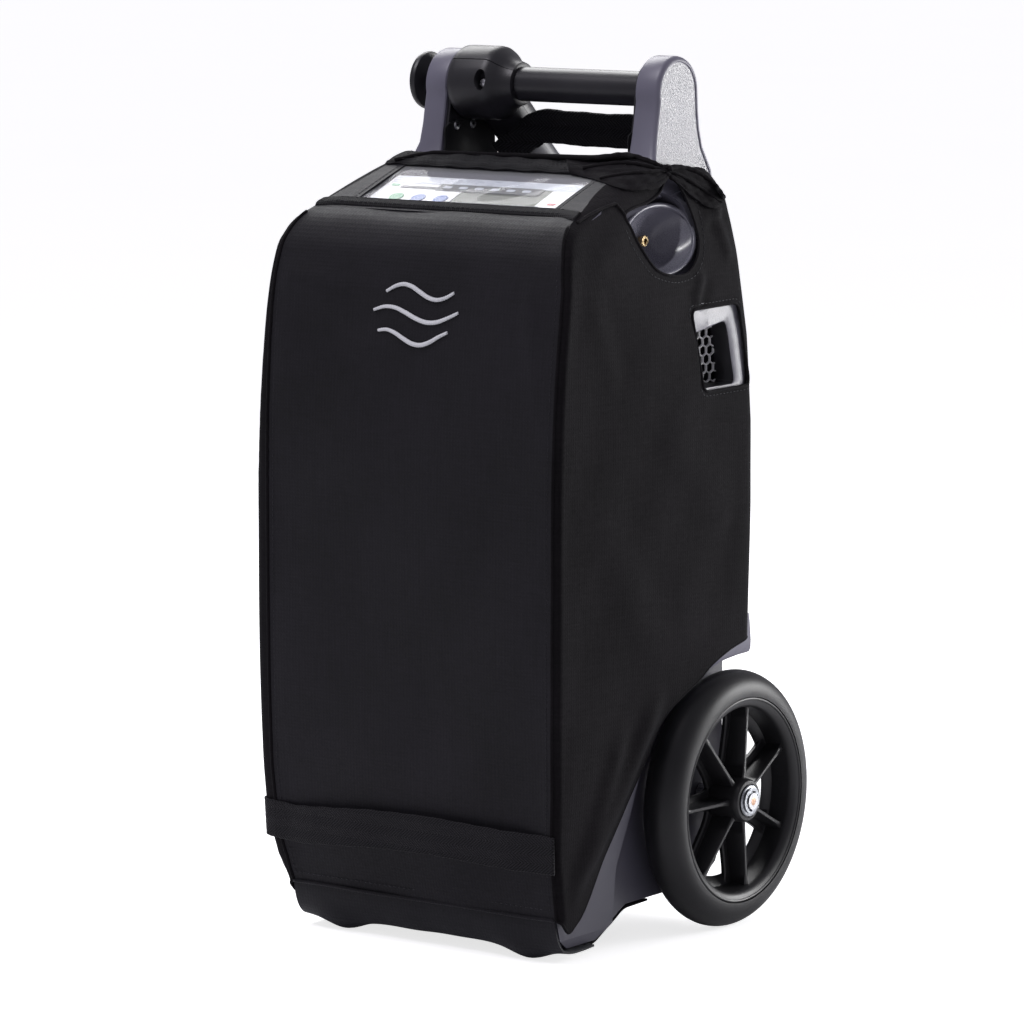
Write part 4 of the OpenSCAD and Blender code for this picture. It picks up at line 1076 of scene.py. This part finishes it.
# ------------------------------------------------------------------ vent: frame with rounded edges and a stretched hexagon mesh
def vent_pieces():
    V, F = [], []
    a_, pitch, w = 7.4, 5.2, 0.36
    inner = [(8.3, 353.0), (9.3, 354.4), (42.5, 359.2), (45.2, 358.6), (46.3, 356.0), (51.6, 325.0), (50.8, 323.0), (49, 322.4), (17.8, 322.4), (16.2, 323.6)]
    segs = set()
    for j in range(-1, 9):
        for i in range(-1, 8):
            cy = 8.0 + i * a_ + (j % 2) * a_ / 2; cz = 321.0 + j * pitch
            hx = [(cy, cz + pitch * 2 / 3), (cy + a_ / 2, cz + pitch / 3), (cy + a_ / 2, cz - pitch / 3), (cy, cz - pitch * 2 / 3), (cy - a_ / 2, cz - pitch / 3), (cy - a_ / 2, cz + pitch / 3)]
            for k in range(6):
                p, q = hx[k], hx[(k + 1) % 6]
                key = tuple(sorted(((round(p[0], 1), round(p[1], 1)), (round(q[0], 1), round(q[1], 1)))))
                if key in segs: continue
                if min(p[0], q[0]) < 3.5 or max(p[0], q[0]) > 54 or min(p[1], q[1]) < 319.5 or max(p[1], q[1]) > 363: continue
                segs.add(key)
                d = np.array(q) - np.array(p); L = np.linalg.norm(d); d /= L; nr = np.array([-d[1], d[0]])
                o0 = len(V)
                for pp in (np.array(p) - d * 0.25, np.array(q) + d * 0.25):
                    for sx_, xx in ((-w, 97.0), (w, 97.0), (w, 98.0), (w * 0.6, 98.4), (-w * 0.6, 98.4), (-w, 98.0)):
                        c_ = pp + nr * sx_
                        V.append((xx, c_[0], c_[1]))
                for k2 in range(6):
                    F.append((o0 + k2, o0 + (k2 + 1) % 6, o0 + 6 + (k2 + 1) % 6, o0 + 6 + k2))
                F.append(tuple(o0 + k2 for k2 in range(6))[::-1]); F.append(tuple(o0 + 6 + k2 for k2 in range(6)))
    hexm = obj_from("vent_hex_mesh", V, F, M["mesh"], "case", smooth=False)
    recalc(hexm)
    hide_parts("vent_mesh")
    n = 60
    def loop_of(P):
        P = catmull(P, 12, closed=True) if len(P) < 20 else np.array(P)
        L = np.r_[0, np.cumsum(np.linalg.norm(np.diff(np.vstack([P, P[:1]]), axis=0), axis=1))]
        Q = np.vstack([P, P[:1]])
        c = P.mean(0)
        ang = np.unwrap(np.arctan2(Q[:, 1] - c[1], Q[:, 0] - c[0]))
        if ang[-1] < ang[0]: Q = Q[::-1]; ang = ang[::-1]
        t = ang[0] + np.arange(n) * 2 * math.pi / n
        st0 = math.pi * 0.8
        t = st0 + np.arange(n) * 2 * math.pi / n
        t = ang[0] + np.mod(t - ang[0], 2 * math.pi)
        return np.stack([np.interp(t, ang, Q[:, 0]), np.interp(t, ang, Q[:, 1])], 1)
    def dense(P):
        out = []
        for i in range(len(P)):
            p, q = np.array(P[i]), np.array(P[(i + 1) % len(P)])
            for t in np.linspace(0, 1, 12, endpoint=False): out.append(p + (q - p) * t)
        return out
    outer = loop_of(dense([(4.5, 371.5), (59.5, 372.0), (67.5, 317.8), (12.5, 317.6)]))
    inn = loop_of(dense(inner))
    c_in = inn.mean(0)
    xo = lambda P, dx: np.array([(float(W(np.array([y]), np.array([z]))[0]) - dx, y, z) for y, z in P])
    fx = lambda P, x: np.array([(x, y, z) for y, z in P])
    rings = [fx(outer, 108.9), xo(outer, 2.3), xo(outer + (inn - outer) * 0.5, 2.0), xo(inn + (outer - inn) * 0.06, 2.1), xo(inn, 2.7), fx(inn, 103.0), fx(inn + (c_in - inn) * 0.015, 97.2),
             fx(inn + (outer - inn) * 0.10, 97.0), fx(inn + (outer - inn) * 0.10, 106.0)]
    V = [p for r in rings for p in r]; F = []
    m_ = len(rings)
    for r in range(m_):
        q = (r + 1) % m_
        for i in range(n):
            F.append((r * n + i, r * n + (i + 1) % n, q * n + (i + 1) % n, q * n + i))
    fr = obj_from("vent_bezel", V, F, M["frame"], "case"); recalc(fr); fr.data.set_sharp_from_angle(angle=math.radians(35))
    # faces inside the outer skin, the walls of the vent recess, get the black plastic: painted shade, the walls are the
    # bezel's own slate
    fr.data.materials.append(M["black"])
    for p in fr.data.polygons:
        if p.center.x < 0.1068: p.material_index = 1
    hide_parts("vent_frame")
vent_pieces()
tb = tube("vent_hem", surf_side(vl, 1, 0.0), 0.9, M["side"], closed=True)

# hem round the outlet opening, following the cover surface
hp_ = [p for p in hem_pts if p is not None]
tear_hem = tube("outlet_hem", np.array(hp_), 0.75, M["side"], closed=True)
st2 = stitches("outlet_stitching", [p for p in (on_surface(u, v, T_cov, 0.25) for u, v in catmull([(698, 176), (690, 188), (697, 204), (702, 222), (704.5, 242), (703, 260), (696, 275), (684, 281.5), (670, 282), (653, 275.5), (640.5, 260), (632, 245), (626, 230)][1:], 8)) if p is not None])
fe = tube("flap_edge", np.array([p for p in flap_pts if p is not None]), 0.95, M["side"])

# gathered elastic: ropes of cloth pulled round the foot of the right arm
T_all = T_cov + [tree_of(arm_r), tree_of(nodes["casing_top"]), tree_of(br)]
def drape(name, top, bot, nu_, nv_, off, wr, left):
    tp_, bt_ = catmull(top, 8), catmull(bot, 8)
    G = np.zeros((nv_, nu_)); D = {}
    for j in range(nu_):
        f_ = j / (nu_ - 1)
        a0 = np.array([np.interp(f_, np.linspace(0, 1, len(tp_)), tp_[:, c]) for c in (0, 1)])
        b0 = np.array([np.interp(f_, np.linspace(0, 1, len(bt_)), bt_[:, c]) for c in (0, 1)])
        for i in range(nv_):
            q = a0 + (b0 - a0) * i / (nv_ - 1)
            h = on_surface(q[0], q[1], T_all)
            D[i, j] = ray_dir(q[0], q[1])
            G[i, j] = np.nan if h is None else np.linalg.norm(np.array(h) - np.array(EYE) * 1000)
    med = np.nanmedian(G)
    G = np.where(np.isnan(G), med, G); G = np.clip(G, med - 40, med + 40)
    for _ in range(14):
        H = np.pad(G, 1, mode="edge")
        G = np.minimum((H[:-2, 1:-1] + H[2:, 1:-1] + H[1:-1, :-2] + H[1:-1, 2:] + 2 * G) / 6, G + 0.8)
    def ramp_(j):
        f_ = j / (nu_ - 1)
        return float(sm((f_ if left else 1 - f_) / 0.35))
    P = np.zeros((nv_, nu_, 3))
    for i in range(nv_):
        for j in range(nu_):
            w = wr * (math.sin(i * 1.15 + 0.12 * j) + 0.6 * math.sin(j * 0.55 - i * 0.7) + 0.4 * math.sin(j * 1.3 + i))
            P[i, j] = np.array(EYE) * 1000 + np.array(D[i, j]) * (G[i, j] - (off + w) * ramp_(j) - 0.25)
    return grid_solid(name, P, 1.2, M["side"], out_sign=-1.0)
ga = drape("gather_front", [(566, 161), (592, 157.5), (625, 152.5), (645, 158), (660, 165), (669, 167.5)], [(570, 173), (596, 181), (622, 190), (640, 190), (657, 187), (667.5, 177)], 50, 22, 1.6, 0.55, True)
gb = drape("gather_rear", [(667, 167), (680, 165.5), (694, 169), (706, 176), (716, 184), (724, 194)], [(669.5, 178), (680, 187), (690, 196), (702, 204), (714, 208), (724, 200)], 44, 22, 1.2, 0.5, False)
rp_ = []
for path, r_ in ((((395, 160), (430, 153.5), (470, 153), (520, 155.5), (560, 158), (600, 157.5), (625, 155), (645, 160), (660, 166), (668, 170)), 1.7),
                 (((583, 168), (600, 165), (625, 163), (645, 166), (658, 169), (668, 171)), 1.5),
                 (((600, 178), (622, 174), (642, 172), (656, 171), (667, 171)), 1.1),
                 (((668, 170), (680, 167.5), (694, 170.5), (706, 177.5), (716, 186), (724, 197)), 1.5),
                 (((669, 171), (682, 176), (697, 185), (711, 195), (722, 202)), 0.9)):
    P_ = [on_surface(u, v, T_all + [tree_of(ga), tree_of(gb)], 0.8) for u, v in catmull(path, 10)]
    P_ = np.array([p for p in P_ if p is not None])
    for _ in range(3): P_[1:-1] = (P_[:-2] + P_[2:] + 2 * P_[1:-1]) / 4
    k_ = np.linspace(0, 1, len(P_))
    rp_.append(tube("rope", P_, r_ * (0.75 + 0.3 * np.sin(k_ * math.pi)) * (1 + 0.1 * np.sin(np.arange(len(P_)) * 1.3)), M["side"]))
kp = on_surface(667.5, 170.5, T_all + [tree_of(ga), tree_of(gb)], 1.4)
rp_.append(tube("knot", np.array([np.array(kp) + np.array([1.6 * math.cos(t_), 0.8 * math.sin(2 * t_), 2.2 * math.sin(t_)]) for t_ in np.linspace(0, 5.6, 24)]), 1.5, M["side"]))
ropes = join("elastic_gathers", rp_)

# outlet bowl lining and brass barb
T_top = [tree_of(nodes["casing_top"])]
eye = np.array(EYE) * 1000
rc_u, rc_v, rc_r = 659.0, 240.4, 34.0
def depth(h): return float(np.linalg.norm(np.array(h) - eye))
nt_ = 72
th_ = np.arange(nt_) * 2 * math.pi / nt_
Dr = np.array([(lambda h: np.nan if h is None else depth(h))(on_surface(rc_u + rc_r * 1.06 * math.cos(t), rc_v + rc_r * 1.06 * math.sin(t), T_top)) for t in th_])
Dr = np.where(np.isnan(Dr), np.nanmedian(Dr), Dr)
basis = np.stack([np.ones(nt_), np.cos(th_), np.sin(th_), np.cos(2 * th_), np.sin(2 * th_)], 1)
wts = np.ones(nt_)
for _ in range(6):
    co = np.linalg.lstsq(basis * wts[:, None], Dr * wts, rcond=None)[0]
    res = Dr - basis @ co
    wts = np.where(res > 1.0, 0.3, 1.0)
Ds = basis @ co - 0.3
D0 = depth((76.0, 7.8, 399.2))
V, F = [], []
prof_b = [(1.10, -1, 2.6), (1.07, -1, 0.2), (1.035, -1, -0.7), (1.005, -1, -0.5), (0.985, -1, 0.3)] + [(q, 0, 0) for q in (0.975, 0.95, 0.91, 0.85, 0.78, 0.69, 0.58, 0.46, 0.34, 0.22, 0.11, 0.03)]
for q, kind, dz in prof_b:
    for i in range(nt_):
        u, v = rc_u + rc_r * q * math.cos(th_[i]), rc_v + rc_r * q * math.sin(th_[i])
        if kind < 0: D = Ds[i] + dz
        else: D = Ds[i] + 0.4 + (D0 - Ds[i]) * (1 - q ** 2.4) ** 0.62
        V.append(eye + np.array(ray_dir(u, v)) * D)
for g in range(len(prof_b) - 1):
    for i in range(nt_):
        F.append((g * nt_ + i, g * nt_ + (i + 1) % nt_, (g + 1) * nt_ + (i + 1) % nt_, (g + 1) * nt_ + i))
F.append(tuple((len(prof_b) - 1) * nt_ + i for i in range(nt_)))
bowl = obj_from("outlet_bowl", V, F, M["bowl"]); recalc(bowl)
md = bowl.modifiers.new("s", "SOLIDIFY"); md.thickness = 0.0008; md.offset = 0
# upper case shell with the mouth of the bowl opened to its rim
shell = bpy.data.objects.new("upper_case_shell", nodes["casing_top"].data.copy())
scene.collection.objects.link(shell)
shell.data.materials.clear(); shell.data.materials.append(M["slate_matt"])
A_, B2 = [], []
for t in th_:
    d_ = np.array(ray_dir(rc_u + rc_r * 1.03 * math.cos(t), rc_v + rc_r * 1.03 * math.sin(t)))
    A_.append(eye + d_ * (Ds.min() - 25)); B2.append(eye + d_ * (D0 + 1.5))
n_ = len(A_)
cb = obj_from("cb", A_ + B2, [tuple(range(n_))[::-1], tuple(range(n_, 2 * n_))] + [(i, (i + 1) % n_, n_ + (i + 1) % n_, n_ + i) for i in range(n_)], None, smooth=False, ride=False)
recalc(cb); cut(shell, [cb]); drop([cb])
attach(shell, "case"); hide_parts("casing_top")
barb = lathe("outlet_hose_barb", [(0, -6), (1.8, -6), (1.8, 1.2), (3.6, 1.2), (3.6, 3.0), (2.4, 3.2), (2.4, 5.0), (3.0, 5.2), (2.5, 8.6), (2.5, 11.2), (3.3, 11.4), (3.35, 13.0), (3.1, 13.4), (1.6, 13.4), (1.5, 6), (0, 6)],
             (71.6, -3, 408), M["brass"], "case", 40, angle=25)
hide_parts("outlet_barb")

# ------------------------------------------------------------------ shading of the CAD nodes that stay
for n_, o in nodes.items():
    if n_ in ("lcd", "control_panel"): continue
for n_ in ("base_tray", "casing_front", "casing_rear", "casing_top"):
    nodes[n_].data.materials.clear(); nodes[n_].data.materials.append(M["slate"])
nodes["casing_top"].data.materials.clear(); nodes["casing_top"].data.materials.append(M["slate_matt"])
for n_ in ("liner_left", "liner_right", "bar"):
    nodes[n_].data.materials.clear(); nodes[n_].data.materials.append(M["black"])

# ------------------------------------------------------------------ stage and lights
me = bpy.data.meshes.new("floor")
bmf = bmesh.new(); bmesh.ops.create_grid(bmf, x_segments=1, y_segments=1, size=40.0); bmf.to_mesh(me); bmf.free()
floor = bpy.data.objects.new("floor", me); scene.collection.objects.link(floor)
mf, ntf, bf_ = new_mat("floor_white")
ntf.links.new(ramp(ntf, noise(ntf, coords(ntf), 2.0), (0.9, 0.9, 0.915), (0.92, 0.92, 0.93)), bf_.inputs["Base Color"])
bf_.inputs["Roughness"].default_value = 0.55
bf_.inputs["Specular IOR Level"].default_value = 0.3
lp = N(ntf, "ShaderNodeLightPath")
bf_.inputs["Emission Color"].default_value = (1, 1, 1, 1)
ntf.links.new(math_node(ntf, "MULTIPLY", lp.outputs["Is Camera Ray"], 0.74), bf_.inputs["Emission Strength"])
me.materials.append(mf)
world = bpy.data.worlds.new("world"); scene.world = world; world.use_nodes = True
world.node_tree.nodes["Background"].inputs[0].default_value = (0.985, 0.96, 1.07, 1)
lpw = N(world.node_tree, "ShaderNodeLightPath")
world.node_tree.links.new(math_node(world.node_tree, "ADD", math_node(world.node_tree, "MULTIPLY", lpw.outputs["Is Camera Ray"], 0.78), 0.27), world.node_tree.nodes["Background"].inputs[1])
def area(name, loc, target, size, power, col=(1, 1, 1), sy=None):
    ld = bpy.data.lights.new(name, "AREA"); ld.energy = power; ld.size = size; ld.color = col
    if sy: ld.shape = "RECTANGLE"; ld.size_y = sy
    o = bpy.data.objects.new(name, ld); scene.collection.objects.link(o)
    o.location = loc
    o.rotation_euler = (Vector(target) - Vector(loc)).to_track_quat("-Z", "Y").to_euler()
    return o
area("key_top", (-0.35, -0.9, 2.1), (0, -0.05, 0.4), 1.0, 19, (1, 0.97, 1.04))
area("rim_right", (0.98, 1.36, 0.545), (0.08, 0.0, 0.49), 0.8, 16, sy=0.5)
area("rim_vent", (0.98, 1.36, 0.13), (0.1, 0.03, 0.345), 0.7, 3.2, sy=0.10)
area("back_top", (-1.05, 0.95, 1.65), (0, -0.05, 0.44), 1.0, 18)
sl = bpy.data.lights.new("bowl_spot", "SPOT"); sl.energy = 110; sl.spot_size = math.radians(3.0); sl.spot_blend = 1.0; sl.shadow_soft_size = 0.05
so = bpy.data.objects.new("bowl_spot", sl); scene.collection.objects.link(so)
so.location = (0.26, -0.9, 1.32)
so.rotation_euler = (Vector((0.092, -0.002, 0.405)) - Vector(so.location)).to_track_quat("-Z", "Y").to_euler()
scene.view_settings.view_transform = "Standard"
scene.view_settings.look = "None"
scene.view_settings.exposure = 0.0
